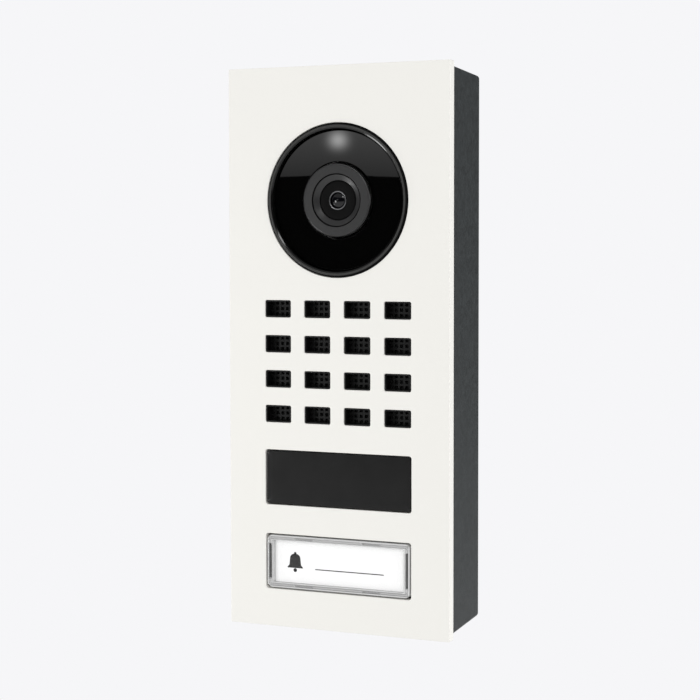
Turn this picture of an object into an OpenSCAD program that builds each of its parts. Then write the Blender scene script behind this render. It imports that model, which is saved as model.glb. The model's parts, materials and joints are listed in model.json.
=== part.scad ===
// Wall-mounted video door station with one call button.
// Origin: centre of the wall face. +X right as a visitor sees it, +Y into the wall, +Z up.

/* [Overall] */
// Width of the front panel
panel_w = 67; // [66:1:100]
// Height of the front panel
panel_h = 157; // [155:1:220]
// Thickness of the front panel
panel_t = 3; // [2:0.5:4]
// From the wall to the face of the front panel
depth = 28; // [28:1:40]
// Corner radius of the front panel
panel_corner_r = 0.5; // [0.2:0.1:2]

/* [Housing] */
// How far the panel stands proud of the housing at each side
overhang_side = 0.7; // [0.3:0.1:1]
// How far the panel stands proud of the housing at its top and bottom
overhang_end = 1; // [0.3:0.1:1.2]
// Draft angle of the housing's outer walls
draft_deg = 2; // [0:0.5:2.5]
// Radius of the housing's back edges
back_edge_r = 2; // [1:0.5:2.5]
// Wall of the housing at its back edge
housing_wall = 2; // [1.5:0.1:2.2]
// Thickness of the housing's back
housing_back_t = 2; // [1.5:0.1:2.4]
// Thickness of the foam gasket between panel and housing
gasket_t = 0.5; // [0.3:0.1:1]
// Wall screw holes, centre to centre across
wall_hole_dx = 40; // [36:1:44]
// Wall screw holes, centre to centre upright
wall_hole_dz = 110; // [80:1:125]
// Wall screw hole diameter
wall_hole_d = 4.5; // [3.5:0.1:5]
// Diameter of the cable entry in the back
cable_entry_d = 24; // [18:1:26]
// Height of the cable entry above the bottom of the panel
cable_entry_rise = 53.5; // [50:0.5:62]
// Diameter of the hole through the cable grommet
grommet_bore_d = 10; // [6:0.5:12]

/* [Camera] */
// Camera centre below the top of the panel
camera_drop = 37.1; // [36:0.1:40]
// Outer diameter of the bezel ring
bezel_d = 42.8; // [37:0.1:43.6]
// Width of the bezel ring's face
bezel_ring_w = 1.65; // [1.2:0.05:1.8]
// How far the bezel stands proud of the panel
bezel_proud = 0.4; // [0.1:0.1:0.8]
// Thickness of the black camera window
window_disc_t = 0.9; // [0.6:0.1:1.1]
// How far the camera window lies behind the bezel's face
window_recess = 1.5; // [0.9:0.1:1.6]
// Outer diameter of the lens collar
collar_d = 21.2; // [20:0.1:22]
// Diameter of the lens barrel
barrel_d = 11; // [10:0.1:11.6]
// Diameter of the front lens
front_lens_d = 4.5; // [4:0.1:5.4]
// Travel of the infrared filter carriage
filter_travel = 6; // [5.6:0.1:6]
// Number of infrared lamps round the lens
lamp_count = 8; // [4:1:10]

/* [Grille] */
// Slots across
slot_cols = 4; // [2:1:4]
// Slots down
slot_rows = 4; // [2:1:4]
// Slot width
slot_w = 8; // [6:0.1:9]
// Slot height
slot_h = 4.85; // [3:0.05:6]
// Slot pitch across
slot_dx = 12.13; // [10:0.01:12.4]
// Slot pitch down
slot_dz = 9.85; // [8:0.05:10]
// Centre of the slot field above the bottom of the panel
grille_rise = 75; // [74.5:0.1:76]
// Side of each square hole in the inner grille
mesh_hole = 0.95; // [0.7:0.05:1]
// Pitch of the square holes
mesh_pitch = 1.54; // [1.4:0.02:2]

/* [Sensor window] */
// Width of the opening shared by the sensor window and the button
opening_w = 44.4; // [40:0.1:45]
// Height of the sensor window
window_h = 15.4; // [12:0.1:15.8]
// Centre of the sensor window above the bottom of the panel
window_rise = 42.3; // [42:0.1:42.6]

/* [Call button] */
// Height of the button's opening
button_h = 15.7; // [14:0.1:16]
// Centre of the button above the bottom of the panel
button_rise = 18.45; // [18:0.05:18.8]
// Gap round the button
button_gap = 0.4; // [0.2:0.05:0.6]
// Travel of the button
button_travel = 0.8; // [0.4:0.1:1]
// Gap between the name card and the cover's walls at each end
card_gap_side = 1; // [0.3:0.1:2]
// Gap between the name card and the cover's walls above and below
card_gap_end = 0.4; // [0.2:0.1:1]
// Turns of each return spring
spring_turns = 4; // [3:1:5]
// Wire diameter of each return spring
spring_wire_d = 0.35; // [0.2:0.05:0.4]

/* [Inside] */
// Wall of the moulded chassis
chassis_wall = 1.6; // [1.2:0.1:1.8]
// Front wall of the chassis
chassis_front_t = 2; // [1.6:0.1:2.4]
// Gap between chassis and housing
chassis_gap = 0.6; // [0.3:0.1:0.8]
// Thickness of the rear cover
cover_t = 1.6; // [1.2:0.1:1.8]
// Space for wiring behind the rear cover
wiring_gap = 2.4; // [2.4:0.1:4]
// Thickness of the main circuit board
board_t = 1.6; // [1:0.1:1.6]
// Outer radius of the speaker
speaker_r = 18; // [16:0.5:18]
// Travel of the speaker cone each way
cone_travel = 0.4; // [0.2:0.1:0.5]

/* [Fasteners] */
// Radius of the small studs on the panel
stud_r = 1; // [0.8:0.05:1.1]
// Radius of the cover screws and the board pillars' threads
small_screw_r = 1.25; // [1:0.05:1.3]
// Radius of the security screws
security_screw_r = 1.5; // [1.2:0.05:1.6]
// Radial gap of fixed fits
fit_gap = 0.05; // [0.03:0.01:0.08]
// Radial gap of running fits
run_gap = 0.06; // [0.03:0.01:0.1]

/* [Hidden] */
$fn = 64;
eps = 0.01;

// Levels along Y, from the face of the panel to the wall.
face_y = -depth;
panel_back_y = face_y + panel_t;
rim_y = panel_back_y + gasket_t;
chassis_in_y = panel_back_y + chassis_front_t;
cover_back_y = -housing_back_t - wiring_gap;
cover_front_y = cover_back_y - cover_t;
cover_gasket_t = 0.4;
chassis_rim_y = cover_front_y - cover_gasket_t;

// Heights of the features.
camera_z = panel_h / 2 - camera_drop;
grille_z = -panel_h / 2 + grille_rise;
window_z = -panel_h / 2 + window_rise;
button_z = -panel_h / 2 + button_rise;
cable_z = -panel_h / 2 + cable_entry_rise;

// Housing and chassis outlines.
rim_w = panel_w - 2 * overhang_side;
rim_h = panel_h - 2 * overhang_end;
draft_in = -rim_y * tan(draft_deg);
cavity_w = rim_w - 2 * draft_in - 2 * housing_wall;
cavity_h = rim_h - 2 * draft_in - 2 * housing_wall;
chassis_w = cavity_w - 2 * chassis_gap;
chassis_h = cavity_h - 2 * chassis_gap;
inner_w = chassis_w - 2 * chassis_wall;
inner_h = chassis_h - 2 * chassis_wall;

// Camera stack.
bezel_r = bezel_d / 2;
disc_r = bezel_r - bezel_ring_w;
disc_gap = 0.1;
disc_front_y = face_y - bezel_proud + window_recess;
disc_back_y = disc_front_y + window_disc_t;
collar_r = collar_d / 2;
collar_front_y = face_y - bezel_proud + 0.05;
barrel_r = barrel_d / 2;
cone_mouth_r = barrel_r + 1.9;
barrel_front_y = collar_front_y + 1.2;
bezel_seal_t = 0.5;
bezel_flange_r = bezel_r + 1.6;
bezel_lip_r = disc_r - 2.2;
bezel_back_y = panel_back_y + bezel_seal_t + 1.2;
lamp_board_t = 1;
lamp_ring_r = (collar_r + bezel_lip_r) / 2;
lamp_r = 1.5;
holder_w = 26;
holder_front_y = bezel_back_y + 2.8;
camera_board_y = holder_front_y + 7.1;
camera_board_t = 1.2;
camera_board_w = 2 * bezel_flange_r;
camera_post = camera_board_w / 2 - 2.5;
slide_w = 20;
slide_h = 8.2;
slide_y = camera_board_y - 3.1;
carriage_y0 = slide_y + 0.3;
carriage_y1 = carriage_y0 + 1.2;
carriage_w = filter_travel + 6.8;
filter_w = 5;
rod_r = 0.6;
rod_y = (carriage_y0 + carriage_y1) / 2;
solenoid_x0 = holder_w / 2 + 1;
solenoid_x1 = solenoid_x0 + 9;
rod_end_x = filter_travel / 2 + carriage_w / 2 + 13;

// Gap round the pieces set into the panel's openings, and how far they lie below its face.
insert_gap = 0.1;
insert_recess = 0.3;

// Grille, speaker and microphone.
slot_xs = [for (i = [0:slot_cols - 1]) (i - (slot_cols - 1) / 2) * slot_dx];
slot_zs = [for (j = [0:slot_rows - 1]) (j - (slot_rows - 1) / 2) * slot_dz];
field_w = (slot_cols - 1) * slot_dx + slot_w;
field_h = (slot_rows - 1) * slot_dz + slot_h;
grille_plate_w = field_w + 2.6;
grille_plate_h = field_h + 2.6;
inner_grille_t = 0.8;
grille_rim_t = 0.3;
mesh_t = 0.2;
speaker_front_y = chassis_in_y + 0.8;
speaker_back_y = speaker_front_y + 7.2;
cone_r = speaker_r - 4.5;
coil_r = 4;
coil_top_y = speaker_back_y - 3.2 - cone_travel;
microphone_x = 22;
microphone_z = grille_z - field_h / 2 - 1;
microphone_r = 3;

// Sensor window.
window_flange = 1.5;
window_flange_t = 1;
reader_w = opening_w + 0.4;
reader_h = window_h + 1.4;
reader_y = chassis_in_y;

// Call button.
button_w = opening_w - 2 * button_gap;
button_body_h = button_h - 2 * button_gap;
cover_wall = 1;
cap_front_t = 1;
card_w = button_w - 2 * cover_wall - 2 * card_gap_side;
card_h = button_body_h - 2 * cover_wall - 2 * card_gap_end;
card_t = 0.3;
carrier_rest_gap = 0.05;
carrier_y = panel_back_y + carrier_rest_gap;
carrier_t = 1;
carrier_w = opening_w + 1.6;
carrier_h = button_h + 1.8;
guide_gap = 0.5;
guide_wall = 1;
guide_w = carrier_w + 2 * guide_gap + 2 * guide_wall;
guide_h = carrier_h + 2 * guide_gap + 2 * guide_wall;
guide_floor_y = chassis_in_y + 2.4;
guide_floor_t = 1.6;
post_x = button_w / 2 - 4.5;
post_r = 1.5;
foot_x = 8;
foot_r = 1.2;
foot_y = guide_floor_y + guide_floor_t + 0.8;
button_board_y = foot_y + 2.8;
button_board_t = 1.2;
switch_w = 4.5;
switch_front_y = foot_y + 1;
plunger_r = 0.9;
spring_r = post_r + 0.25 + spring_wire_d;

// Main board, its parts and its fixings.
main_board_y = button_board_y + button_board_t + 0.4;
main_board_back_y = main_board_y + board_t;
main_board_w = inner_w - 0.8;
main_board_top_z = camera_z - camera_board_w / 2 - 1.4;
main_board_bottom_z = button_z - 9;
pillar_x = inner_w / 2 - 2.7;
pillar_z = [main_board_top_z - 3, window_z];
pillar_r = 2.5;
boss_r = 2.1;
top_boss_z = panel_h / 2 - 9.5;

// Panel studs: rows of [x, z].
stud_spots = [
    for (s = [-1, 1]) [s * 15, panel_h / 2 - 9.3],
    for (s = [-1, 1]) [s * 12, (grille_z - grille_plate_h / 2 + window_z + window_h / 2 + window_flange) / 2],
    for (s = [-1, 1]) [s * 12, (window_z - reader_h / 2 + button_z + guide_h / 2) / 2]
];
stud_len = 5;
nut_t = 1.6;
nut_r = 2.3;
cover_screw_spots = [
    for (s = [-1, 1], z = pillar_z) [s * pillar_x, z],
    for (s = [-1, 1]) [s * pillar_x, top_boss_z]
];

// Connectors on the back of the main board: [x, z, w, h].
power_spot = [-11.5, button_z + 2, 22, 9];
power_ways = 5;
network_spot = [13, button_z + 2, 18, 9];
network_ways = 4;
terminal_back_y = cover_back_y;
terminal_hole_r = 1.5;
terminal_hole_rise = 1.5;
connector_gap = 0.5;

// Security screws, driven upward through the bottom of the housing.
security_x = 15;
security_boss_t = 4.8;
security_y = guide_floor_y + guide_floor_t + 0.1 + security_boss_t / 2;
security_tip_z = -inner_h / 2 + 2.6;
chassis_bottom_z = -chassis_h / 2;
tongue_w = 20;
tongue_y1 = chassis_rim_y - 2.6;
tongue_y0 = tongue_y1 - 3;

// ---------------------------------------------------------------- shared shapes

// Rectangle of w by h with corners of radius r, made of squares and circles.
module round_rect(w, h, r) {
    if (r <= 0) square([w, h], center = true);
    else {
        square([w - 2 * r, h], center = true);
        square([w, h - 2 * r], center = true);
        for (x = [-1, 1], z = [-1, 1])
            translate([x * (w / 2 - r), z * (h / 2 - r)]) circle(r);
    }
}

// Slab between two levels of Y, seen from the front as a rounded rectangle.
module slab(w, h, y0, y1, x = 0, z = 0, r = 0) {
    translate([x, y0, z]) rotate([-90, 0, 0]) linear_extrude(y1 - y0) round_rect(w, h, r);
}

// Round bar along Y.
module bar(r, y0, y1, x = 0, z = 0) {
    translate([x, y0, z]) rotate([-90, 0, 0]) cylinder(r = r, h = y1 - y0);
}

// Tube along Y.
module tube(r_out, r_in, y0, y1, x = 0, z = 0) {
    difference() {
        bar(r_out, y0, y1, x, z);
        bar(r_in, y0 - 1, y1 + 1, x, z);
    }
}

// Rectangular frame between two levels of Y.
module frame_slab(w, h, w_in, h_in, y0, y1, x = 0, z = 0, r = 0, r_in = 0) {
    difference() {
        slab(w, h, y0, y1, x, z, r);
        slab(w_in, h_in, y0 - 1, y1 + 1, x, z, r_in);
    }
}

// Solid turned about an axis along Y from points [radius, y].
module turned(points, x = 0, z = 0) {
    translate([x, 0, z]) rotate([-90, 0, 0]) rotate_extrude() polygon(points);
}

// Screw with its head towards +Y: the head starts at head_y and the shank points to -Y.
module pan_screw(r, head_r, head_y, tip_y, x, z) {
    drive_r = head_r * 0.45;
    head_t = head_r * 0.6;
    bar(r, tip_y, head_y, x, z);
    difference() {
        bar(head_r, head_y, head_y + head_t, x, z);
        translate([x, head_y + head_t / 2, z]) rotate([-90, 0, 0])
            cylinder(r = drive_r, h = head_t, $fn = 6);
    }
}

// ---------------------------------------------------------------- housing and panel

// Points round one back corner of the housing's drafted outline.
function back_corner(half, r, steps = 8) =
    let (cu = half - r * (1 - sin(draft_deg)) / cos(draft_deg))
    [for (i = [0:steps]) let (a = draft_deg + (90 - draft_deg) * i / steps)
        [cu + r * cos(a), -r + r * sin(a)]];

// Outline of the housing across one direction, from the rim to the wall face.
module drafted_outline(half_rim) {
    corner = back_corner(half_rim - draft_in, back_edge_r);
    last = len(corner) - 1;
    polygon(concat(
        [[-half_rim, rim_y], [half_rim, rim_y]],
        corner,
        [for (i = [0:last]) [-corner[last - i][0], corner[last - i][1]]]
    ));
}

module surface_housing() {
    color([0.25, 0.26, 0.27]) difference() {
        union() {
            difference() {
                intersection() {
                    linear_extrude(panel_h, center = true) drafted_outline(rim_w / 2);
                    rotate([0, -90, 0]) linear_extrude(panel_w, center = true)
                        drafted_outline(rim_h / 2);
                }
                slab(cavity_w, cavity_h, rim_y - 1, -housing_back_t);
            }
            // Tongue that the chassis hangs on.
            translate([-tongue_w / 2, tongue_y0, cavity_h / 2 - chassis_gap - chassis_wall + 0.3])
                cube([tongue_w, tongue_y1 - tongue_y0, chassis_gap + chassis_wall]);
        }
        for (x = [-1, 1], z = [-1, 1])
            bar(wall_hole_d / 2, -housing_back_t - 1, 1, x * wall_hole_dx / 2, z * wall_hole_dz / 2);
        bar(cable_entry_d / 2, -housing_back_t - 1, 1, 0, cable_z);
        for (x = [-1, 1]) translate([x * security_x, security_y, 0]) {
            translate([0, 0, -panel_h / 2]) cylinder(r = security_screw_r + 0.2, h = 8);
            translate([0, 0, -panel_h / 2])
                cylinder(r = security_screw_r * 2, h = panel_h / 2 - cavity_h / 2 - 0.8);
        }
    }
}

module housing_gasket() {
    color([0.08, 0.08, 0.08])
        frame_slab(rim_w - 0.4, rim_h - 0.4, cavity_w, cavity_h, panel_back_y, rim_y);
}

module front_panel() {
    color([0.94, 0.94, 0.91]) {
        difference() {
            slab(panel_w, panel_h, face_y, panel_back_y, r = panel_corner_r);
            bar(bezel_r + 0.15, face_y - 1, panel_back_y + 1, 0, camera_z);
            for (x = slot_xs, z = slot_zs)
                slab(slot_w, slot_h, face_y - 1, panel_back_y + 1, x, grille_z + z, 0.5);
            slab(opening_w, window_h, face_y - 1, panel_back_y + 1, 0, window_z, 0.8);
            slab(opening_w, button_h, face_y - 1, panel_back_y + 1, 0, button_z, 0.8);
        }
        for (p = stud_spots) bar(stud_r, panel_back_y, panel_back_y + stud_len, p[0], p[1]);
    }
}

module cable_grommet() {
    bore_r = grommet_bore_d / 2;
    neck_r = cable_entry_d / 2;
    color([0.1, 0.1, 0.1]) turned([
        [bore_r, -housing_back_t - 1.2], [neck_r + 1.5, -housing_back_t - 1.2],
        [neck_r + 1.5, -housing_back_t], [neck_r, -housing_back_t],
        [neck_r, 0], [bore_r, 0]
    ], 0, cable_z);
}

module security_screws() {
    head_z = -cavity_h / 2 - 0.8;
    color([0.55, 0.56, 0.58]) for (x = [-1, 1]) translate([x * security_x, security_y, 0]) {
        translate([0, 0, head_z]) cylinder(r = security_screw_r, h = security_tip_z - head_z);
        difference() {
            translate([0, 0, head_z - 1]) cylinder(r = security_screw_r * 1.8, h = 1);
            translate([0, 0, head_z - 2]) cylinder(r = security_screw_r * 0.8, h = 1.6, $fn = 6);
        }
    }
}

// ---------------------------------------------------------------- chassis and rear cover

module chassis_shell() {
    difference() {
        slab(chassis_w, chassis_h, panel_back_y, chassis_rim_y);
        slab(inner_w, inner_h, chassis_in_y, 0);
        // Through openings in the front wall.
        bar(bezel_flange_r + 0.2, panel_back_y - 1, chassis_in_y + 1, 0, camera_z);
        bar(speaker_r - 2, panel_back_y - 1, chassis_in_y + 1, 0, grille_z);
        slab(grille_plate_w + 0.2, grille_plate_h + 0.2, panel_back_y - 1,
            panel_back_y + inner_grille_t + mesh_t, 0, grille_z);
        bar(1, panel_back_y - 1, chassis_in_y + 1, microphone_x, microphone_z);
        slab(opening_w - 2.4, window_h - 2.4, panel_back_y - 1, chassis_in_y + 1, 0, window_z);
        slab(opening_w + 2 * window_flange + 0.2, window_h + 2 * window_flange + 0.2,
            panel_back_y - 1, panel_back_y + window_flange_t, 0, window_z);
        slab(carrier_w + 2 * guide_gap, carrier_h + 2 * guide_gap,
            panel_back_y - 1, chassis_in_y + 1, 0, button_z);
        for (p = stud_spots)
            bar(stud_r + 0.2, panel_back_y - 1, chassis_in_y + 1, p[0], p[1]);
        // Slot in the top wall for the housing's tongue.
        translate([-tongue_w / 2 - 0.5, tongue_y0 - 0.5, inner_h / 2 - 1])
            cube([tongue_w + 1, tongue_y1 - tongue_y0 + 1, chassis_wall + 2]);
    }
}

module chassis() {
    color([0.12, 0.12, 0.13]) difference() {
        union() {
            chassis_shell();
            for (s = [-1, 1]) {
                for (z = pillar_z) bar(boss_r, chassis_in_y, main_board_y, s * pillar_x, z);
                bar(boss_r, chassis_in_y, cover_front_y, s * pillar_x, top_boss_z);
                for (z = [-1, 1])
                    bar(boss_r, chassis_in_y, camera_board_y, s * camera_post,
                        camera_z + z * camera_post);
                // Boss that takes a security screw.
                translate([s * security_x - 3.5, security_y - security_boss_t / 2, -inner_h / 2 - eps])
                    cube([7, security_boss_t, 2.6 + eps]);
            }
        }
        for (s = [-1, 1]) {
            for (z = pillar_z)
                bar(small_screw_r + fit_gap, main_board_y - 6, main_board_y + 1, s * pillar_x, z);
            bar(small_screw_r + fit_gap, cover_front_y - 7, cover_front_y + 1, s * pillar_x, top_boss_z);
            for (z = [-1, 1])
                bar(small_screw_r + fit_gap, camera_board_y - 5, camera_board_y + 1,
                    s * camera_post, camera_z + z * camera_post);
            translate([s * security_x, security_y, chassis_bottom_z - 1])
                cylinder(r = security_screw_r + fit_gap, h = 8);
        }
    }
}

module chassis_nuts() {
    color([0.7, 0.7, 0.72]) for (p = stud_spots) difference() {
        translate([p[0], chassis_in_y, p[1]]) rotate([-90, 0, 0])
            cylinder(r = nut_r, h = nut_t, $fn = 6);
        bar(stud_r + fit_gap, chassis_in_y - 1, chassis_in_y + nut_t + 1, p[0], p[1]);
    }
}

module cover_gasket() {
    color([0.2, 0.2, 0.2])
        frame_slab(chassis_w - 0.4, chassis_h - 0.4, inner_w, inner_h, chassis_rim_y, cover_front_y);
}

module rear_cover() {
    color([0.16, 0.16, 0.17]) difference() {
        slab(chassis_w, chassis_h, cover_front_y, cover_back_y, r = 1.5);
        for (p = cover_screw_spots)
            bar(small_screw_r + 0.2, cover_front_y - 1, cover_back_y + 1, p[0], p[1]);
        for (c = [power_spot, network_spot])
            slab(c[2] + 2 * connector_gap, c[3] + 2 * connector_gap,
                cover_front_y - 1, cover_back_y + 1, c[0], c[1]);
    }
}

module cover_screws() {
    color([0.6, 0.6, 0.62]) for (p = cover_screw_spots)
        pan_screw(small_screw_r, 2.3, cover_back_y, cover_front_y - 3.6, p[0], p[1]);
}

module board_pillars() {
    color([0.8, 0.68, 0.35]) for (s = [-1, 1], z = pillar_z) difference() {
        union() {
            translate([s * pillar_x, main_board_back_y, z]) rotate([-90, 0, 0])
                cylinder(r = pillar_r, h = cover_front_y - main_board_back_y, $fn = 6);
            bar(small_screw_r, main_board_y - 4, main_board_back_y, s * pillar_x, z);
        }
        bar(small_screw_r + fit_gap, cover_front_y - 4, cover_front_y + 1, s * pillar_x, z);
    }
}

// ---------------------------------------------------------------- camera

module camera_bezel() {
    color([0.2, 0.2, 0.21]) turned([
        [bezel_lip_r, disc_back_y], [disc_r, disc_back_y], [disc_r, face_y - bezel_proud + 0.25],
        [disc_r + 0.25, face_y - bezel_proud], [bezel_r - 0.3, face_y - bezel_proud],
        [bezel_r, face_y - bezel_proud + 0.3], [bezel_r, panel_back_y + bezel_seal_t],
        [bezel_flange_r, panel_back_y + bezel_seal_t], [bezel_flange_r, bezel_back_y],
        [bezel_lip_r, bezel_back_y]
    ], 0, camera_z);
}

module bezel_gasket() {
    color([0.05, 0.05, 0.05])
        tube(bezel_flange_r, bezel_r + 0.2, panel_back_y, panel_back_y + bezel_seal_t, 0, camera_z);
}

module camera_window() {
    color([0.02, 0.02, 0.02]) tube(disc_r - disc_gap, collar_r + disc_gap,
        disc_front_y, disc_back_y, 0, camera_z);
}

module lens_collar() {
    sleeve_r = collar_r - 0.6;
    color([0.26, 0.26, 0.26]) turned([
        [barrel_r + fit_gap, barrel_front_y], [cone_mouth_r, collar_front_y],
        [collar_r - 0.45, collar_front_y], [collar_r, collar_front_y + 0.3],
        [collar_r, disc_back_y], [sleeve_r, disc_back_y + 0.6], [sleeve_r, holder_front_y],
        [barrel_r + 2, holder_front_y], [barrel_r + 2, barrel_front_y + 2],
        [barrel_r + fit_gap, barrel_front_y + 2]
    ], 0, camera_z);
}

module lens_barrel() {
    lens_r = front_lens_d / 2;
    rear_r = lens_r + 1;
    end_y = holder_front_y + 3;
    color([0.09, 0.09, 0.09]) turned([
        [lens_r + fit_gap, barrel_front_y - 0.2], [lens_r + 0.35, barrel_front_y - 0.2],
        [lens_r + 0.35, barrel_front_y], [barrel_r, barrel_front_y],
        [barrel_r, end_y], [rear_r + fit_gap, end_y],
        [rear_r + fit_gap, barrel_front_y + 3], [lens_r - 0.8, barrel_front_y + 3],
        [lens_r - 0.8, barrel_front_y + 1.4], [lens_r + fit_gap, barrel_front_y + 1.4]
    ], 0, camera_z);
}

module front_lens() {
    lens_r = front_lens_d / 2;
    dome_r = lens_r * 1.5;
    color([0.25, 0.28, 0.3, 0.6]) intersection() {
        bar(lens_r, barrel_front_y - 0.5, barrel_front_y + 1.4, 0, camera_z);
        translate([0, barrel_front_y - 0.4 + dome_r, camera_z]) sphere(dome_r);
    }
}

module rear_lens() {
    rear_r = front_lens_d / 2 + 1;
    color([0.3, 0.33, 0.35, 0.6])
        bar(rear_r, barrel_front_y + 3, barrel_front_y + 5, 0, camera_z);
}

module lens_holder() {
    color([0.1, 0.1, 0.1]) difference() {
        slab(holder_w, holder_w, holder_front_y, camera_board_y, 0, camera_z, 0.8);
        bar(barrel_r + fit_gap, holder_front_y - 1, camera_board_y, 0, camera_z);
        slab(slide_w, slide_h, slide_y, camera_board_y + 1, 0, camera_z);
        translate([0, rod_y, camera_z]) rotate([0, 90, 0]) cylinder(r = rod_r + 0.3, h = holder_w);
    }
}

module filter_carriage() {
    mid_x = filter_travel / 2;
    color([0.85, 0.85, 0.82]) {
        difference() {
            slab(carriage_w, slide_h - 0.3, carriage_y0, carriage_y1, mid_x, camera_z);
            for (x = [0, filter_travel])
                slab(filter_w + 0.1, filter_w + 0.1, carriage_y0 - 1, carriage_y1 + 1, x, camera_z);
        }
        translate([mid_x + carriage_w / 2, rod_y, camera_z]) rotate([0, 90, 0])
            cylinder(r = rod_r - 0.02, h = rod_end_x - mid_x - carriage_w / 2);
    }
}

module infrared_filter() {
    color([0.35, 0.6, 0.7, 0.6])
        slab(filter_w + 0.1, filter_w + 0.1, carriage_y0 + 0.3, carriage_y1 - 0.3, 0, camera_z);
}

module clear_filter() {
    color([0.85, 0.9, 0.9, 0.4]) slab(filter_w + 0.1, filter_w + 0.1, carriage_y0 + 0.3,
        carriage_y1 - 0.3, filter_travel, camera_z);
}

module filter_solenoid() {
    half = camera_board_y - rod_y;
    color([0.6, 0.35, 0.2]) difference() {
        translate([solenoid_x0, rod_y - half, camera_z - 3])
            cube([solenoid_x1 - solenoid_x0, 2 * half, 6]);
        translate([0, rod_y, camera_z]) rotate([0, 90, 0])
            cylinder(r = rod_r + 0.1, h = solenoid_x1 + 1);
    }
}

module image_sensor() {
    color([0.15, 0.2, 0.18])
        slab(7, 6, camera_board_y - 0.8, camera_board_y, 0, camera_z);
}

module camera_board() {
    color([0.06, 0.2, 0.1]) difference() {
        union() {
            slab(camera_board_w, camera_board_w, camera_board_y,
                camera_board_y + camera_board_t, 0, camera_z, 2);
            slab(14, 4, camera_board_y + camera_board_t, camera_board_y + camera_board_t + 1.4,
                0, camera_z - camera_board_w / 2 + 4);
        }
        for (x = [-1, 1], z = [-1, 1])
            bar(small_screw_r + 0.2, camera_board_y - 1, camera_board_y + camera_board_t + 1,
                x * camera_post, camera_z + z * camera_post);
    }
}

module camera_screws() {
    color([0.6, 0.6, 0.62]) for (x = [-1, 1], z = [-1, 1])
        pan_screw(small_screw_r, 2.2, camera_board_y + camera_board_t, camera_board_y - 4,
            x * camera_post, camera_z + z * camera_post);
}

module lamp_board() {
    color([0.9, 0.9, 0.88])
        tube(disc_r - 1, collar_r + 0.3, bezel_back_y, bezel_back_y + lamp_board_t, 0, camera_z);
}

module infrared_lamps() {
    body_y = bezel_back_y - 1;
    color([0.35, 0.3, 0.35]) for (i = [0:lamp_count - 1]) {
        a = (i + 0.5) * 360 / lamp_count;
        x = lamp_ring_r * cos(a);
        z = camera_z + lamp_ring_r * sin(a);
        bar(lamp_r, body_y, bezel_back_y, x, z);
        intersection() {
            translate([x, body_y, z]) sphere(lamp_r - 0.1);
            bar(lamp_r, body_y - lamp_r, body_y, x, z);
        }
    }
}

module camera_flex() {
    top_z = camera_z - camera_board_w / 2 + 2;
    low_z = main_board_top_z - 2;
    ribbon_y = camera_board_y + camera_board_t + 0.6;
    color([0.75, 0.5, 0.15])
        slab(12, top_z - low_z, ribbon_y, ribbon_y + 0.2, 0, (top_z + low_z) / 2);
}

// ---------------------------------------------------------------- grille, speaker, microphone

// One slot's patch of square holes.
module hole_patch() {
    edge = 2 * (insert_gap + grille_rim_t) + mesh_hole;
    nx = floor((slot_w - edge) / mesh_pitch + 1);
    nz = floor((slot_h - edge) / mesh_pitch + 1);
    for (i = [0:nx - 1], j = [0:nz - 1])
        translate([(i - (nx - 1) / 2) * mesh_pitch, (j - (nz - 1) / 2) * mesh_pitch])
            square(mesh_hole, center = true);
}

module inner_grille() {
    rim_w = slot_w - 2 * insert_gap;
    rim_h = slot_h - 2 * insert_gap;
    color([0.05, 0.05, 0.05]) {
        translate([0, panel_back_y, grille_z]) rotate([-90, 0, 0])
            linear_extrude(inner_grille_t) difference() {
                square([grille_plate_w, grille_plate_h], center = true);
                for (x = slot_xs, z = slot_zs) translate([x, z]) hole_patch();
            }
        // Rims that line the panel's slots.
        for (x = slot_xs, z = slot_zs)
            frame_slab(rim_w, rim_h, rim_w - 2 * grille_rim_t, rim_h - 2 * grille_rim_t,
                face_y + insert_recess, panel_back_y, x, grille_z + z, 0.4, 0.1);
    }
}

module acoustic_mesh() {
    color([0.02, 0.02, 0.02]) slab(grille_plate_w, grille_plate_h,
        panel_back_y + inner_grille_t, panel_back_y + inner_grille_t + mesh_t, 0, grille_z);
}

module speaker_gasket() {
    color([0.1, 0.1, 0.1])
        tube(speaker_r, speaker_r - 2, chassis_in_y, speaker_front_y, 0, grille_z);
}

module speaker_frame() {
    color([0.3, 0.3, 0.32]) turned([
        [cone_r + 1.2, speaker_front_y], [speaker_r, speaker_front_y],
        [speaker_r, speaker_front_y + 1], [speaker_r - 2, speaker_front_y + 1],
        [10.5, speaker_back_y - 2.6], [10.5, speaker_back_y - 2], [coil_r + 1.4, speaker_back_y - 2],
        [coil_r + 1.4, speaker_back_y - 2.6], [9.5, speaker_back_y - 2.6], [speaker_r - 3, speaker_front_y + 1]
    ], 0, grille_z);
}

module speaker_magnet() {
    color([0.35, 0.35, 0.37]) turned([
        [0, speaker_back_y - 2.4], [coil_r - 0.3, speaker_back_y - 2.4],
        [coil_r - 0.3, speaker_back_y - 0.6], [coil_r + 0.8, speaker_back_y - 0.6],
        [coil_r + 0.8, speaker_back_y - 2], [9, speaker_back_y - 2],
        [9, speaker_back_y], [0, speaker_back_y]
    ], 0, grille_z);
}

module speaker_cone() {
    y0 = speaker_front_y + 0.2 + cone_travel;
    y1 = coil_top_y;
    color([0.15, 0.15, 0.15]) turned([
        [0, y1 - 1], [coil_r, y1 - 0.2], [cone_r, y0], [cone_r + 0.9, y0],
        [cone_r + 0.9, y0 + 0.3], [cone_r, y0 + 0.4], [coil_r, y1 + 0.2], [0, y1 - 0.6]
    ], 0, grille_z);
}

module voice_coil() {
    color([0.7, 0.4, 0.2])
        tube(coil_r + 0.3, coil_r, coil_top_y + 0.2, speaker_back_y - 0.8 - cone_travel, 0, grille_z);
}

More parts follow.
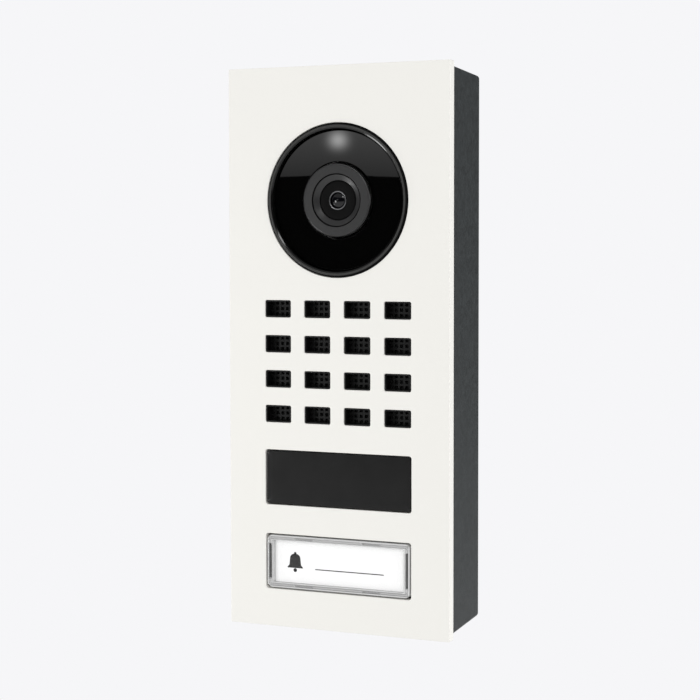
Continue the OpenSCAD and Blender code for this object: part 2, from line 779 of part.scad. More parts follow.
module microphone_boot() {
    color([0.1, 0.1, 0.1]) difference() {
        bar(microphone_r + 1.2, chassis_in_y, chassis_in_y + 3.4, microphone_x, microphone_z);
        bar(microphone_r, chassis_in_y + 0.6, chassis_in_y + 4, microphone_x, microphone_z);
        bar(1, chassis_in_y - 1, chassis_in_y + 1, microphone_x, microphone_z);
    }
}

module microphone() {
    color([0.75, 0.75, 0.76])
        bar(microphone_r - fit_gap, chassis_in_y + 0.6, chassis_in_y + 3.1, microphone_x, microphone_z);
}

// ---------------------------------------------------------------- sensor window

module sensor_window() {
    color([0.15, 0.15, 0.15]) {
        slab(opening_w - 2 * insert_gap, window_h - 2 * insert_gap,
            face_y + insert_recess, panel_back_y, 0, window_z, 0.7);
        slab(opening_w + 2 * window_flange, window_h + 2 * window_flange,
            panel_back_y, panel_back_y + window_flange_t, 0, window_z);
    }
}

module reader_board() {
    color([0.08, 0.25, 0.12]) slab(reader_w, reader_h, reader_y, reader_y + 1, 0, window_z);
}

module reader_coil() {
    color([0.8, 0.5, 0.25]) for (i = [0:2])
        frame_slab(opening_w - 3.2 - 2.4 * i, window_h - 3.2 - 2.4 * i,
            opening_w - 4.6 - 2.4 * i, window_h - 4.6 - 2.4 * i,
            reader_y - 0.1, reader_y, 0, window_z);
}

module motion_sensor() {
    color([0.5, 0.5, 0.5]) slab(4, 3, reader_y - 0.7, reader_y, 0, window_z);
}

// ---------------------------------------------------------------- call button

module button_cover() {
    color([0.85, 0.87, 0.88, 0.35]) difference() {
        slab(button_w, button_body_h, face_y, carrier_y, 0, button_z, 1.5);
        slab(button_w - 2 * cover_wall, button_body_h - 2 * cover_wall,
            face_y + cap_front_t, carrier_y + 1, 0, button_z, 0.6);
    }
}

module name_card() {
    color([0.97, 0.97, 0.97]) slab(card_w, card_h,
        face_y + cap_front_t, face_y + cap_front_t + card_t, 0, button_z);
}

module button_diffuser() {
    color([0.9, 0.92, 0.92]) slab(button_w - 2 * cover_wall - 0.2, button_body_h - 2 * cover_wall - 0.2,
        face_y + cap_front_t + card_t, carrier_y, 0, button_z, 0.5);
}

module button_carrier() {
    color([0.15, 0.15, 0.15]) {
        slab(carrier_w, carrier_h, carrier_y, carrier_y + carrier_t, 0, button_z, 1);
        for (s = [-1, 1]) {
            bar(post_r, carrier_y + carrier_t, guide_floor_y + guide_floor_t + 0.4, s * post_x, button_z);
            bar(foot_r, carrier_y + carrier_t, foot_y, s * foot_x, button_z);
        }
    }
}

// Points of one ring of the spring's wire, at turn angle a.
function spring_ring(a, rise, sides) =
    [for (k = [0:sides - 1]) let (b = 360 * k / sides, rr = spring_r + spring_wire_d / 2 * cos(b))
        [rr * cos(a), rise * a / 360 + spring_wire_d / 2 * sin(b), rr * sin(a)]];

module coil_spring(y0, y1) {
    sides = 8;
    steps = 16 * spring_turns;
    rise = (y1 - y0 - spring_wire_d) / spring_turns;
    rings = [for (i = [0:steps]) spring_ring(360 * i / 16, rise, sides)];
    points = [for (ring = rings) for (p = ring) p];
    quads = [for (i = [0:steps - 1], k = [0:sides - 1])
        [i * sides + k, (i + 1) * sides + k, (i + 1) * sides + (k + 1) % sides, i * sides + (k + 1) % sides]];
    caps = [[for (k = [0:sides - 1]) k], [for (k = [0:sides - 1]) steps * sides + sides - 1 - k]];
    translate([0, y0 + spring_wire_d / 2, 0]) polyhedron(points, concat(quads, caps));
}

module button_springs() {
    color([0.75, 0.76, 0.78]) for (s = [-1, 1])
        translate([s * post_x, 0, button_z])
            coil_spring(carrier_y + carrier_t + 0.02, guide_floor_y - 0.02);
}

module button_guide() {
    color([0.2, 0.2, 0.21]) difference() {
        slab(guide_w, guide_h, chassis_in_y, guide_floor_y + guide_floor_t, 0, button_z);
        slab(carrier_w + 2 * guide_gap, carrier_h + 2 * guide_gap,
            chassis_in_y - 1, guide_floor_y, 0, button_z);
        for (s = [-1, 1]) {
            bar(post_r + run_gap, guide_floor_y - 1, guide_floor_y + guide_floor_t + 1, s * post_x, button_z);
            bar(foot_r + 0.3, guide_floor_y - 1, guide_floor_y + guide_floor_t + 1, s * foot_x, button_z);
        }
        slab(10, 6, guide_floor_y - 1, guide_floor_y + guide_floor_t + 1, 0, button_z);
    }
}

module key_switches() {
    color([0.1, 0.1, 0.1]) for (s = [-1, 1]) difference() {
        slab(switch_w, switch_w, switch_front_y, button_board_y, s * foot_x, button_z);
        bar(plunger_r + run_gap, switch_front_y - 1, button_board_y - 0.2, s * foot_x, button_z);
    }
}

module switch_plungers() {
    color([0.9, 0.9, 0.9]) for (s = [-1, 1])
        bar(plunger_r, foot_y + 0.05, button_board_y - 0.3 - button_travel, s * foot_x, button_z);
}

module button_lamps() {
    color([0.95, 0.95, 0.85]) for (s = [-1, 1])
        slab(2, 1.5, button_board_y - 0.8, button_board_y, s * 3, button_z);
}

module button_board() {
    color([0.06, 0.2, 0.1])
        slab(guide_w - 2, guide_h - 3.4, button_board_y, button_board_y + button_board_t, 0, button_z, 1);
}

// ---------------------------------------------------------------- main board

module main_board() {
    mid_z = (main_board_top_z + main_board_bottom_z) / 2;
    color([0.06, 0.22, 0.1]) difference() {
        union() {
            slab(main_board_w, main_board_top_z - main_board_bottom_z,
                main_board_y, main_board_back_y, 0, mid_z, 1);
            slab(14, 4, main_board_back_y, main_board_back_y + 1.4, 0, main_board_top_z - 4);
        }
        for (s = [-1, 1], z = pillar_z)
            bar(small_screw_r + 0.2, main_board_y - 1, main_board_back_y + 1, s * pillar_x, z);
    }
}

// Box that stands on the back of the main board.
module on_board(x, z, w, h, tall, r = 0) {
    slab(w, h, main_board_back_y, main_board_back_y + tall, x, z, r);
}

module processor_shield() {
    color([0.75, 0.75, 0.76]) on_board(-10, grille_z, 20, 20, 2.4, 0.8);
}

// X of each way of a terminal block.
function ways_x(spot, ways) = [for (i = [0:ways - 1]) spot[0] + (i - (ways - 1) / 2) * spot[2] / ways];

module wire_terminal(spot, ways) {
    difference() {
        slab(spot[2], spot[3], main_board_back_y, terminal_back_y, spot[0], spot[1]);
        for (x = ways_x(spot, ways))
            bar(terminal_hole_r, terminal_back_y - 3, terminal_back_y + 1, x, spot[1] + terminal_hole_rise);
    }
}

module terminal_block() {
    color([0.1, 0.35, 0.2]) wire_terminal(power_spot, power_ways);
}

module network_terminal() {
    color([0.85, 0.85, 0.8]) wire_terminal(network_spot, network_ways);
}

module terminal_screws() {
    color([0.7, 0.7, 0.72])
        for (x = concat(ways_x(power_spot, power_ways), ways_x(network_spot, network_ways)))
            bar(terminal_hole_r - fit_gap, terminal_back_y - 3, terminal_back_y - 1,
                x, power_spot[1] + terminal_hole_rise);
}

module transformer() {
    color([0.15, 0.15, 0.15]) on_board(12, window_z + 2, 14, 12, 5.2, 0.5);
}

module capacitors() {
    color([0.2, 0.2, 0.35]) for (i = [0:2])
        bar(2.8, main_board_back_y, main_board_back_y + 5, 7 + 6.5 * i, grille_z);
}

module relay() {
    color([0.85, 0.85, 0.85]) on_board(-12, window_z - 1, 10, 14, 5, 0.3);
}

front_panel();
surface_housing();
housing_gasket();
cable_grommet();
security_screws();
chassis();
chassis_nuts();
cover_gasket();
rear_cover();
cover_screws();
board_pillars();
camera_bezel();
bezel_gasket();
camera_window();
lens_collar();
lens_barrel();
front_lens();
rear_lens();
lens_holder();
filter_carriage();
infrared_filter();
clear_filter();
filter_solenoid();
image_sensor();
camera_board();
camera_screws();
lamp_board();
infrared_lamps();
camera_flex();
inner_grille();
acoustic_mesh();
speaker_gasket();
speaker_frame();
speaker_magnet();
speaker_cone();
voice_coil();
microphone();
microphone_boot();
sensor_window();
reader_board();
reader_coil();
motion_sensor();
button_cover();
name_card();
button_diffuser();
button_carrier();
button_springs();
button_guide();
key_switches();
switch_plungers();
button_lamps();
button_board();
main_board();
processor_shield();
network_terminal();
terminal_block();
terminal_screws();
transformer();
capacitors();
relay();
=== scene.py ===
"""Pieces and finishes of a slim wall-mounted video door station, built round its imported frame."""

import json
import math

import bmesh
import bpy
from bpy.props import FloatProperty, FloatVectorProperty, IntProperty, PointerProperty
from mathutils import Matrix, Vector


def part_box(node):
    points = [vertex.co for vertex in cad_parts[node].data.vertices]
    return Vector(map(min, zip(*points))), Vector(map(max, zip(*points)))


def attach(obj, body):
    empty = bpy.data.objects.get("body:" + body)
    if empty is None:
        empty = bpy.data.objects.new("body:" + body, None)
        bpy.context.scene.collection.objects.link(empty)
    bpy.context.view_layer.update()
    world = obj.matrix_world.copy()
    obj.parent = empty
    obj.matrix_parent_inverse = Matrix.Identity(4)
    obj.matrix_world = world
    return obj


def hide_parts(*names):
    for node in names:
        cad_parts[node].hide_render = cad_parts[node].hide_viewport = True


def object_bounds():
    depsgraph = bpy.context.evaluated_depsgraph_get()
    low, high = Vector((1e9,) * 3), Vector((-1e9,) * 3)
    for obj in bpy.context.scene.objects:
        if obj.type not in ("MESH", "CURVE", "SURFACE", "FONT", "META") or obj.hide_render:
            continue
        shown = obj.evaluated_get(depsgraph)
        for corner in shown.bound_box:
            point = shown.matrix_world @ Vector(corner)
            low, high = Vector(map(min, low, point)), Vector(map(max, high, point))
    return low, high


bl_info = {
    "name": "Video door station",
    "version": (1, 0, 0),
    "blender": (4, 5, 0),
    "location": "3D View > Sidebar > Door station",
    "description": "Builds the pieces, finishes and studio of a wall-mounted video door station",
    "category": "Add Mesh",
}

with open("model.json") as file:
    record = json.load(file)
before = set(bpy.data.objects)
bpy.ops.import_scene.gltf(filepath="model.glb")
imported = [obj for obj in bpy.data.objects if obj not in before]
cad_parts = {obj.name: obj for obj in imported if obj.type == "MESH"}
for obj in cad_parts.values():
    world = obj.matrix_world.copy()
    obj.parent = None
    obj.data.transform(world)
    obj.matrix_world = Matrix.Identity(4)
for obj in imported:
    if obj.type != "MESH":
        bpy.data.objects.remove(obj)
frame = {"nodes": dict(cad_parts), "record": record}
CAD_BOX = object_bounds()
MM = 0.001  # Metres
WELD = 1e-6  # How close points are when they are made one
FINE = 192  # Steps round the largest circles
BODY_OF = {node: body for body, nodes in frame["record"]["behaviour"]["bodies"].items() for node in nodes}


# ---------------------------------------------------------------- places taken from the frame


def size(node):
    """Size of a CAD node's box."""
    low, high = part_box(node)
    return high - low


def centre(node):
    """Centre of a CAD node's box."""
    low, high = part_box(node)
    return (high + low) / 2


def front(node):
    """The level along Y of a CAD node's front."""
    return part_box(node)[0].y


def back(node):
    """The level along Y of a CAD node's back."""
    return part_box(node)[1].y


FACE_Y = front("front_panel")
PANEL_BACK_Y = front("housing_gasket")


# ---------------------------------------------------------------- settings


def length(name, description, millimetres):
    """Length setting, from a default in millimetres."""
    return FloatProperty(
        name=name, description=description, default=millimetres * MM, unit="LENGTH", precision=5)


def angle(name, description, radians):
    """Angle setting."""
    return FloatProperty(name=name, description=description, default=radians, subtype="ANGLE")


def power(name, description, watts):
    """Power of a light."""
    return FloatProperty(name=name, description=description, default=watts, unit="POWER")


def number(name, description, value):
    """Setting without a unit."""
    return FloatProperty(name=name, description=description, default=value)


def paint(name, description, colour):
    """Colour setting."""
    return FloatVectorProperty(
        name=name, description=description, default=colour, subtype="COLOR", min=0, max=1)


class DoorStationSizes(bpy.types.PropertyGroup):
    """Sizes of the details that the frame doesn't give."""

    panel_edge: length("Panel edge", "Radius of the front panel's edges", 0.2)
    panel_corner: length("Panel corner", "Corner radius of the front panel's outline", 0.35)
    slot_width: length("Slot width", "Width of one slot of the speaker grille", 8)
    slot_height: length("Slot height", "Height of one slot of the speaker grille", 4.85)
    slot_columns: IntProperty(name="Slot columns", description="Slots across", default=4)
    slot_rows: IntProperty(name="Slot rows", description="Slots down", default=4)
    grille_margin: length("Grille margin", "How far the inner grille reaches past the slots", 1.3)
    insert_gap: length("Insert gap", "Gap round the pieces set into the panel's openings", 0.1)
    button_gap: length("Button gap", "Gap round the call button", 0.4)
    flange: length("Window flange", "Width of the sensor window's hidden flange", 1.5)
    bezel_ring: length("Bezel ring", "Width of the camera bezel's face", 1.35)
    bezel_gap: length("Bezel gap", "Gap between the camera bezel and the panel", 0.25)
    window_gap: length("Window gap", "Gap round the camera window", 0.1)
    collar_radius: length("Collar radius", "Outer radius of the lens collar's front", 10.2)
    collar_gap: length("Collar gap", "Gap between the lens collar and the camera window", 0.5)
    window_recess: length("Window recess", "How far the camera window lies behind the bezel's face", 1.5)
    housing_corner: length("Housing corner", "Radius of the housing's upright edges", 0.9)
    housing_draft: angle("Housing draft", "Draft of the housing's walls", math.radians(2))
    back_edge: length("Back edge", "Radius of the housing's back edges", 2)
    screw_hole: length("Wall screw hole", "Diameter of the wall screw holes", 4.5)


class DoorStationColours(bpy.types.PropertyGroup):
    """Base colours of the finishes."""

    panel: paint("Panel", "White powder coat of the front panel", (0.86, 0.85, 0.81))
    housing: paint("Housing", "Anthracite powder coat of the housing", (0.030, 0.0345, 0.036))
    bezel: paint("Bezel", "Dark grey plastic of the camera bezel", (0.035, 0.035, 0.0335))
    collar: paint("Collar", "Dark grey plastic of the lens collar", (0.0225, 0.0225, 0.023))
    window: paint("Camera window", "Black acrylic of the camera window", (0.0012, 0.0012, 0.0012))
    sensor: paint("Sensor window", "Dark plastic of the sensor window", (0.0125, 0.0125, 0.0125))
    grille: paint("Grille", "Black paint of the inner grille", (0.0055, 0.0055, 0.0055))
    card: paint("Name card", "Paper of the name card", (0.985, 0.985, 0.985))
    ink: paint("Ink", "Ink of the name card's pictogram", (0.02, 0.02, 0.02))
    backdrop: paint("Backdrop", "Pale colour behind the door station", (0.922, 0.922, 0.939))


class DoorStationStudio(bpy.types.PropertyGroup):
    """Camera and light."""

    heading: angle("Heading", "How far the camera stands to the right of straight on", 0.3992)
    pitch: angle("Pitch", "How far the camera looks down", 0.0487)
    distance: length("Distance", "From the camera to the panel's face", 457.83)
    aim_right: length("Aim right", "Where the camera aims, right of the panel's centre", 18.95)
    aim_up: length("Aim up", "Where the camera aims, above the panel's centre", 6.03)
    focal_length: number("Focal length", "Focal length of the camera, in millimetres", 86.65)
    shift_side: number("Side shift", "Shift of the camera to the side", -0.0714)
    shift_up: number("Upward shift", "Shift of the camera upwards", -0.0286)
    floor_drop: length("Floor drop", "From the bottom of the door station to the floor", 1000)
    wall_edge: angle(
        "Wall edge", "Elevation of the lower edge of the dim wall that gloss reflects", math.radians(2.406))
    lamp_heading: angle(
        "Lamp heading", "Heading, to the left, of the lamp that gloss reflects", math.radians(24.970))
    lamp_height: angle("Lamp elevation", "Elevation of the lamp that gloss reflects", math.radians(3.640))
    ambient: number("Ambient light", "Strength of the even light from all round", 0.9)
    front_power: power("Front light", "Power of the softbox in front on the left", 3)
    top_power: power("Top light", "Power of the small softbox above on the right", 0.5)
    side_power: power("Side light", "Power of the softbox beside the housing", 0.06)
    low_power: power("Low light", "Power of the small softbox low on the left", 0.55)
    fill_power: power("Fill light", "Power of the large softbox far to the right", 4.2)


def sizes():
    return bpy.context.scene.door_station_sizes


def colours():
    return bpy.context.scene.door_station_colours


def studio():
    return bpy.context.scene.door_station_studio


# ---------------------------------------------------------------- outlines and mesh tools


def eased(points, closed=False, steps=5):
    """Path through points (u, v) or (u, v, radius), with an arc at each corner that has a radius."""
    path = []
    last = len(points) - 1
    for i, (u, v, *radius) in enumerate(points):
        if not radius or (not closed and i in (0, last)):
            path.append((u, v))
            continue
        corner = Vector((u, v))
        before = (Vector(points[i - 1][:2]) - corner).normalized()
        after = (Vector(points[(i + 1) % len(points)][:2]) - corner).normalized()
        half = before.angle(after) / 2
        middle = corner + (before + after).normalized() * radius[0] / math.sin(half)
        start = corner + before * radius[0] / math.tan(half) - middle
        turn = start.angle_signed(corner + after * radius[0] / math.tan(half) - middle)
        for k in range(steps + 1):
            path.append(tuple(middle + Matrix.Rotation(-turn * k / steps, 2) @ start))
    return path


def rectangle(width, height, radius, x=0, z=0, steps=8):
    """Points (x, z) round a rectangle with rounded corners."""
    radius = max(radius, 0.01 * MM)
    points = []
    for quarter, (sx, sz) in enumerate(((1, 1), (-1, 1), (-1, -1), (1, -1))):
        for k in range(steps + 1):
            angle = (quarter + k / steps) * math.pi / 2
            points.append((
                x + sx * (width / 2 - radius) + radius * math.cos(angle),
                z + sz * (height / 2 - radius) + radius * math.sin(angle)))
    return points


def circle(radius, x=0, z=0, steps=128):
    """Points (x, z) round a circle."""
    angles = [2 * math.pi * k / steps for k in range(steps)]
    return [(x + radius * math.cos(a), z + radius * math.sin(a)) for a in angles]


def divided(loop, counts):
    """Loop of points (x, z) with each stretch divided into as many parts as counts says."""
    points = []
    for i, (one, count) in enumerate(zip(loop, counts)):
        two = loop[(i + 1) % len(loop)]
        points += [(one[0] + (two[0] - one[0]) * k / count, one[1] + (two[1] - one[1]) * k / count)
                   for k in range(count)]
    return points


def ease(low, high, value):
    """Smooth step from 0 at low to 1 at high."""
    t = min(max((value - low) / (high - low), 0), 1)
    return t * t * (3 - 2 * t)


def skin(bm, loops, closed=False, capped=True):
    """Quads between loops of as many points each, with a cap at each end unless they close."""
    rings = [[bm.verts.new(point) for point in loop] for loop in loops]
    pairs = list(zip(rings, rings[1:])) + ([(rings[-1], rings[0])] if closed else [])
    for one, two in pairs:
        for k in range(len(one)):
            n = (k + 1) % len(one)
            bm.faces.new((one[k], one[n], two[n], two[k]))
    if capped and not closed:
        bm.faces.new(rings[0])
        bm.faces.new(rings[-1])
    return bm


def turned(bm, path, middle, steps=128, closed=True):
    """Solid turned about an axis along Y through middle, from a path of (radius, y)."""
    loops = [[(x, y, z) for x, z in circle(max(r, 0), middle.x, middle.z, steps)] for r, y in path]
    skin(bm, loops, closed, capped=False)
    bmesh.ops.remove_doubles(bm, verts=bm.verts, dist=WELD / 10)
    return bm


def rect_loft(bm, width, height, corner, path, middle):
    """Solid lofted through rounded rectangles, from a path of (inset, y)."""
    loops = [
        [(x, y, z) for x, z in rectangle(
            width - 2 * inset, height - 2 * inset, max(corner - inset, 0.1 * MM), middle.x, middle.z)]
        for inset, y in path
    ]
    return skin(bm, loops)


def sheet_mesh(loops, front_y, back_y, edge):
    """Mesh of a flat sheet with rounded edges, from its outline and those of its holes."""
    curve = bpy.data.curves.new("sheet", "CURVE")
    curve.dimensions = "2D"
    curve.fill_mode = "BOTH"
    curve.extrude = (back_y - front_y) / 2 - edge
    curve.bevel_depth = edge
    curve.bevel_resolution = 3
    curve.offset = -edge
    for loop in loops:
        spline = curve.splines.new("POLY")
        spline.points.add(len(loop) - 1)
        for point, (x, z) in zip(spline.points, loop):
            point.co = (x, z, 0, 1)
        spline.use_cyclic_u = True
    holder = bpy.data.objects.new("sheet", curve)
    bpy.context.scene.collection.objects.link(holder)
    mesh = bpy.data.meshes.new_from_object(holder.evaluated_get(bpy.context.evaluated_depsgraph_get()))
    bpy.data.objects.remove(holder)
    bpy.data.curves.remove(curve)
    upright = Matrix.Rotation(math.pi / 2, 4, "X")
    mesh.transform(Matrix.Translation((0, (front_y + back_y) / 2, 0)) @ upright)
    return mesh


def add_sheet(bm, loops, front_y, back_y, edge):
    """Adds a flat sheet with rounded edges to bm."""
    mesh = sheet_mesh(loops, front_y, back_y, edge)
    bm.from_mesh(mesh)
    bpy.data.meshes.remove(mesh)
    bmesh.ops.remove_doubles(bm, verts=bm.verts, dist=WELD)
    return bm


def softened(bm, node, width, segments=2):
    """Adds a copy of a CAD node's mesh to bm, with its sharp edges rounded."""
    flatter_than, sharper_than = math.radians(1), math.radians(40)
    bm.from_mesh(frame["nodes"][node].data)
    bmesh.ops.remove_doubles(bm, verts=bm.verts, dist=WELD)
    bmesh.ops.dissolve_limit(
        bm, angle_limit=flatter_than, verts=bm.verts, edges=bm.edges, delimit=set())
    sharp = [e for e in bm.edges if e.is_manifold and e.calc_face_angle() > sharper_than]
    bmesh.ops.bevel(
        bm, geom=sharp, offset=width, offset_type="OFFSET", segments=segments, profile=0.5,
        affect="EDGES", clamp_overlap=True)
    return bm


def shaded(bm, middle, low, high, behind, finish=1):
    """Gives another finish to a turned piece's faces between two radii and behind a level."""
    for face in bm.faces:
        spot = face.calc_center_median()
        if spot.y > behind and low < math.hypot(spot.x - middle.x, spot.z - middle.z) < high:
            face.material_index = finish


def cut(obj, cutter):
    """Cuts one object's shape out of another, and removes the cutter."""
    modifier = obj.modifiers.new("cut", "BOOLEAN")
    modifier.operation = "DIFFERENCE"
    modifier.solver = "EXACT"
    modifier.object = cutter
    bpy.context.view_layer.update()
    mesh = bpy.data.meshes.new_from_object(obj.evaluated_get(bpy.context.evaluated_depsgraph_get()))
    obj.modifiers.clear()
    obj.data = mesh
    bpy.data.objects.remove(cutter)


def shape(name, bm):
    """Object made of bm, with outward faces."""
    bmesh.ops.recalc_face_normals(bm, faces=bm.faces)
    mesh = bpy.data.meshes.new(name)
    bm.to_mesh(mesh)
    bm.free()
    obj = bpy.data.objects.new(name, mesh)
    bpy.context.scene.collection.objects.link(obj)
    return obj


def settle(obj, node, *finishes, sharp=35, stands_for=True):
    """Gives a piece its shading and finishes, and makes it ride in a CAD node's place."""
    obj.data.shade_smooth()
    obj.data.set_sharp_from_angle(angle=math.radians(sharp))
    weighted = obj.modifiers.new("weighted normals", "WEIGHTED_NORMAL")
    weighted.keep_sharp = True
    for finish in finishes:
        obj.data.materials.append(finish)
    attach(obj, BODY_OF[node])
    if stands_for:
        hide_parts(node)
    return obj


def dress(finish, *nodes):
    """Gives CAD nodes that stay in view a finish."""
    for node in nodes:
        for place in frame["nodes"][node].material_slots:
            place.material = finish


# ---------------------------------------------------------------- shader maths


class Wire:
    """An output of a shader node. Arithmetic on it adds Math nodes."""

    def __init__(self, board, socket):
        self.board = board
        self.socket = socket

    def maths(self, operation, *values):
        return self.board.node("ShaderNodeMath", {"operation": operation}, dict(enumerate(values)))

    def __add__(self, other):
        return self.maths("ADD", self, other)

    def __sub__(self, other):
        return self.maths("SUBTRACT", self, other)

    def __rsub__(self, other):
        return self.maths("SUBTRACT", other, self)

    def __mul__(self, other):
        return self.maths("MULTIPLY", self, other)

    def __truediv__(self, other):
        return self.maths("DIVIDE", self, other)

    def __pow__(self, other):
        return self.maths("POWER", self, other)

    def __gt__(self, other):
        return self.maths("GREATER_THAN", self, other)

    def __lt__(self, other):
        return self.maths("LESS_THAN", self, other)

    def function(self, operation):
        return self.maths(operation, self)

    def least(self, other):
        return self.maths("MINIMUM", self, other)

    def most(self, other):
        return self.maths("MAXIMUM", self, other)

    __radd__ = __add__
    __rmul__ = __mul__


class Board:
    """A node tree with one way to add nodes."""

    def __init__(self, tree):
        self.tree = tree
        tree.nodes.clear()

    def node(self, kind, settings=None, sockets=None, output=0):
        """Adds a node, sets its settings, then the values or links of its sockets."""
        made = self.tree.nodes.new(kind)
        for key, value in (settings or {}).items():
            if key == "stops":
                ramp = made.color_ramp
                while len(ramp.elements) < len(value):
                    ramp.elements.new(0.5)
                for element, (position, level) in zip(ramp.elements, value):
                    element.position = position
                    element.color = (level, level, level, 1)
            else:
                setattr(made, key, value)
        for key, value in (sockets or {}).items():
            self.feed(made.inputs[key], value)
        return Wire(self, made.outputs[output])

    def feed(self, socket, value):
        """Links or sets one socket."""
        if isinstance(value, Wire):
            self.tree.links.new(value.socket, socket)
        elif socket.type == "RGBA" and len(value) == 3:
            socket.default_value = (*value, 1)
        else:
            socket.default_value = value

    def split(self, vector):
        """The x, y and z of a vector."""
        parts = self.node("ShaderNodeSeparateXYZ", {}, {0: vector})
        return [Wire(self, parts.socket.node.outputs[i]) for i in range(3)]

    def blend(self, factor, one, two):
        """Colour between two colours."""
        return self.node("ShaderNodeMix", {"data_type": "RGBA"}, {0: factor, 6: one, 7: two}, 2)


class Finish(Board):
    """A material with one Principled shader. Uniform values go straight onto its sockets."""

    def __init__(self, name, **uniform):
        self.material = bpy.data.materials.new(name)
        self.material.use_nodes = True
        super().__init__(self.material.node_tree)
        self.shader = self.tree.nodes.new("ShaderNodeBsdfPrincipled")
        surface = self.tree.nodes.new("ShaderNodeOutputMaterial")
        self.tree.links.new(self.shader.outputs[0], surface.inputs[0])
        for key, value in uniform.items():
            self.feed(self.shader.inputs[key.replace("_", " ").title().replace("Ior", "IOR")], value)
        place = self.node("ShaderNodeTexCoord", {}, {}, "Object")
        self.place = self.node("ShaderNodeVectorMath", {"operation": "SCALE"}, {0: place, "Scale": 1 / MM})

    def noise(self, scale, detail=2.0, roughness=0.5, vector=None):
        """Soft noise from 0 to 1, with scale in cells per millimetre."""
        return self.node("ShaderNodeTexNoise", {}, {
            "Vector": vector or self.place, "Scale": scale, "Detail": detail,
            "Roughness": roughness}, "Fac")

    def set(self, socket, value):
        """Links a varying value to one of the shader's sockets."""
        self.feed(self.shader.inputs[socket], value)

    def bump(self, height, strength, depth):
        """Bumps the surface by height, with depth in millimetres."""
        self.set("Normal", self.node("ShaderNodeBump", {}, {
            "Strength": strength, "Distance": depth * MM, "Height": height}, "Normal"))

    def radius(self, node):
        """Distance in millimetres from the axis along Y through a CAD node's centre."""
        middle = centre(node) / MM
        x, _, z = self.split(self.place)
        return ((x - middle.x) ** 2 + (z - middle.z) ** 2) ** 0.5


made_finishes = {}


def shared(maker):
    """Makes a finish once, and returns the same material afterwards."""

    def get(*arguments):
        key = (maker.__name__, *arguments)
        if key not in made_finishes:
            made_finishes[key] = maker(*arguments).material
        return made_finishes[key]

    return get


# ---------------------------------------------------------------- finishes


@shared
def panel_coat():
    """Satin white powder coat, with the faint orange peel of a sprayed finish."""
    f = Finish("panel_coat", specular_ior_level=0.4)
    peel = f.noise(1.6, 2)
    grain = f.noise(7, 2)
    broad = f.noise(0.04, 1)
    white = Vector(colours().panel)
    f.set("Base Color", f.blend(broad, tuple(white), tuple(white * 0.985)))
    f.set("Roughness", 0.42 + (peel - 0.5) * 0.14 + (broad - 0.5) * 0.08)
    f.bump(peel + grain * 0.25, 0.12, 0.03)
    return f


@shared
def housing_coat():
    """Anthracite powder coat with a fine even texture."""
    f = Finish("housing_coat", specular_ior_level=0.35)
    leather = f.noise(0.95, 3, 0.6)
    grain = f.noise(4.5, 2)
    broad = ((f.noise(0.45, 3) - 0.5) * 2.2 + 0.5).least(1).most(0)
    dark = Vector(colours().housing)
    fleck = ((leather - 0.5) * 2.2 + (grain - 0.5) * 1.6 + 0.5).least(1).most(0)
    f.set("Base Color", f.blend(fleck * 0.6 + broad * 0.4, tuple(dark * 0.6), tuple(dark * 1.45)))
    f.set("Roughness", 0.5 + (leather - 0.5) * 0.25)
    f.bump(leather + grain * 0.5, 0.5, 0.09)
    return f


@shared
def satin_plastic(name, colour, roughness=0.42, texture=0.15, gloss=0.45):
    """Moulded plastic with a fine spark-eroded texture."""
    f = Finish(name, specular_ior_level=gloss)
    fine = f.noise(11, 2)
    broad = f.noise(0.15, 2)
    f.set("Base Color", f.blend(broad, tuple(Vector(colour) * 0.88), tuple(Vector(colour) * 1.12)))
    f.set("Roughness", roughness + (fine - 0.5) * 0.12 + (broad - 0.5) * 0.06)
    f.bump(fine, texture, 0.02)
    return f


@shared
def gloss_black():
    """Polished black acrylic that passes infrared light, with a trace of wiping."""
    f = Finish("gloss_black", base_color=tuple(colours().window), ior=1.49)
    wipe = f.noise(0.35, 4, 0.65)
    f.set("Roughness", 0.004 + wipe * 0.012)
    return f


@shared
def turned_plastic(name, node, colour, roughness=0.4, pitch=0.16, gloss=0.5):
    """Dark plastic with fine turning rings about a lens's axis."""
    f = Finish(name, specular_ior_level=gloss)
    rings = (f.radius(node) * (2 * math.pi / pitch)).function("SINE")
    fine = f.noise(9, 2)
    f.set("Base Color", f.blend(fine, tuple(Vector(colour) * 0.9), tuple(Vector(colour) * 1.1)))
    f.set("Roughness", roughness + (fine - 0.5) * 0.16)
    f.bump(rings * 0.5 + fine, 0.12, 0.01)
    return f


@shared
def coated_glass():
    """Lens glass with a thin dark coating."""
    f = Finish("coated_glass", base_color=(0.003, 0.003, 0.004), ior=1.52)
    bloom = f.noise(0.8, 2)
    f.set("Roughness", 0.02 + bloom * 0.02)
    return f


# Levels across the cover's frame: painted highlights and painted shade lines that stand for the clear
# plastic's refractions and reflections.
COVER_LIGHT_AND_SHADE_BANDS = (
    (0.0, 0.5), (0.05, 0.88), (0.17, 0.8), (0.21, 0.3), (0.27, 0.62), (0.4, 0.7), (0.45, 0.34),
    (0.5, 0.42), (0.55, 0.9), (0.62, 0.62), (0.8, 0.66), (0.84, 0.95), (0.92, 0.72))
COVER_BAND_WIDTH = 2.4


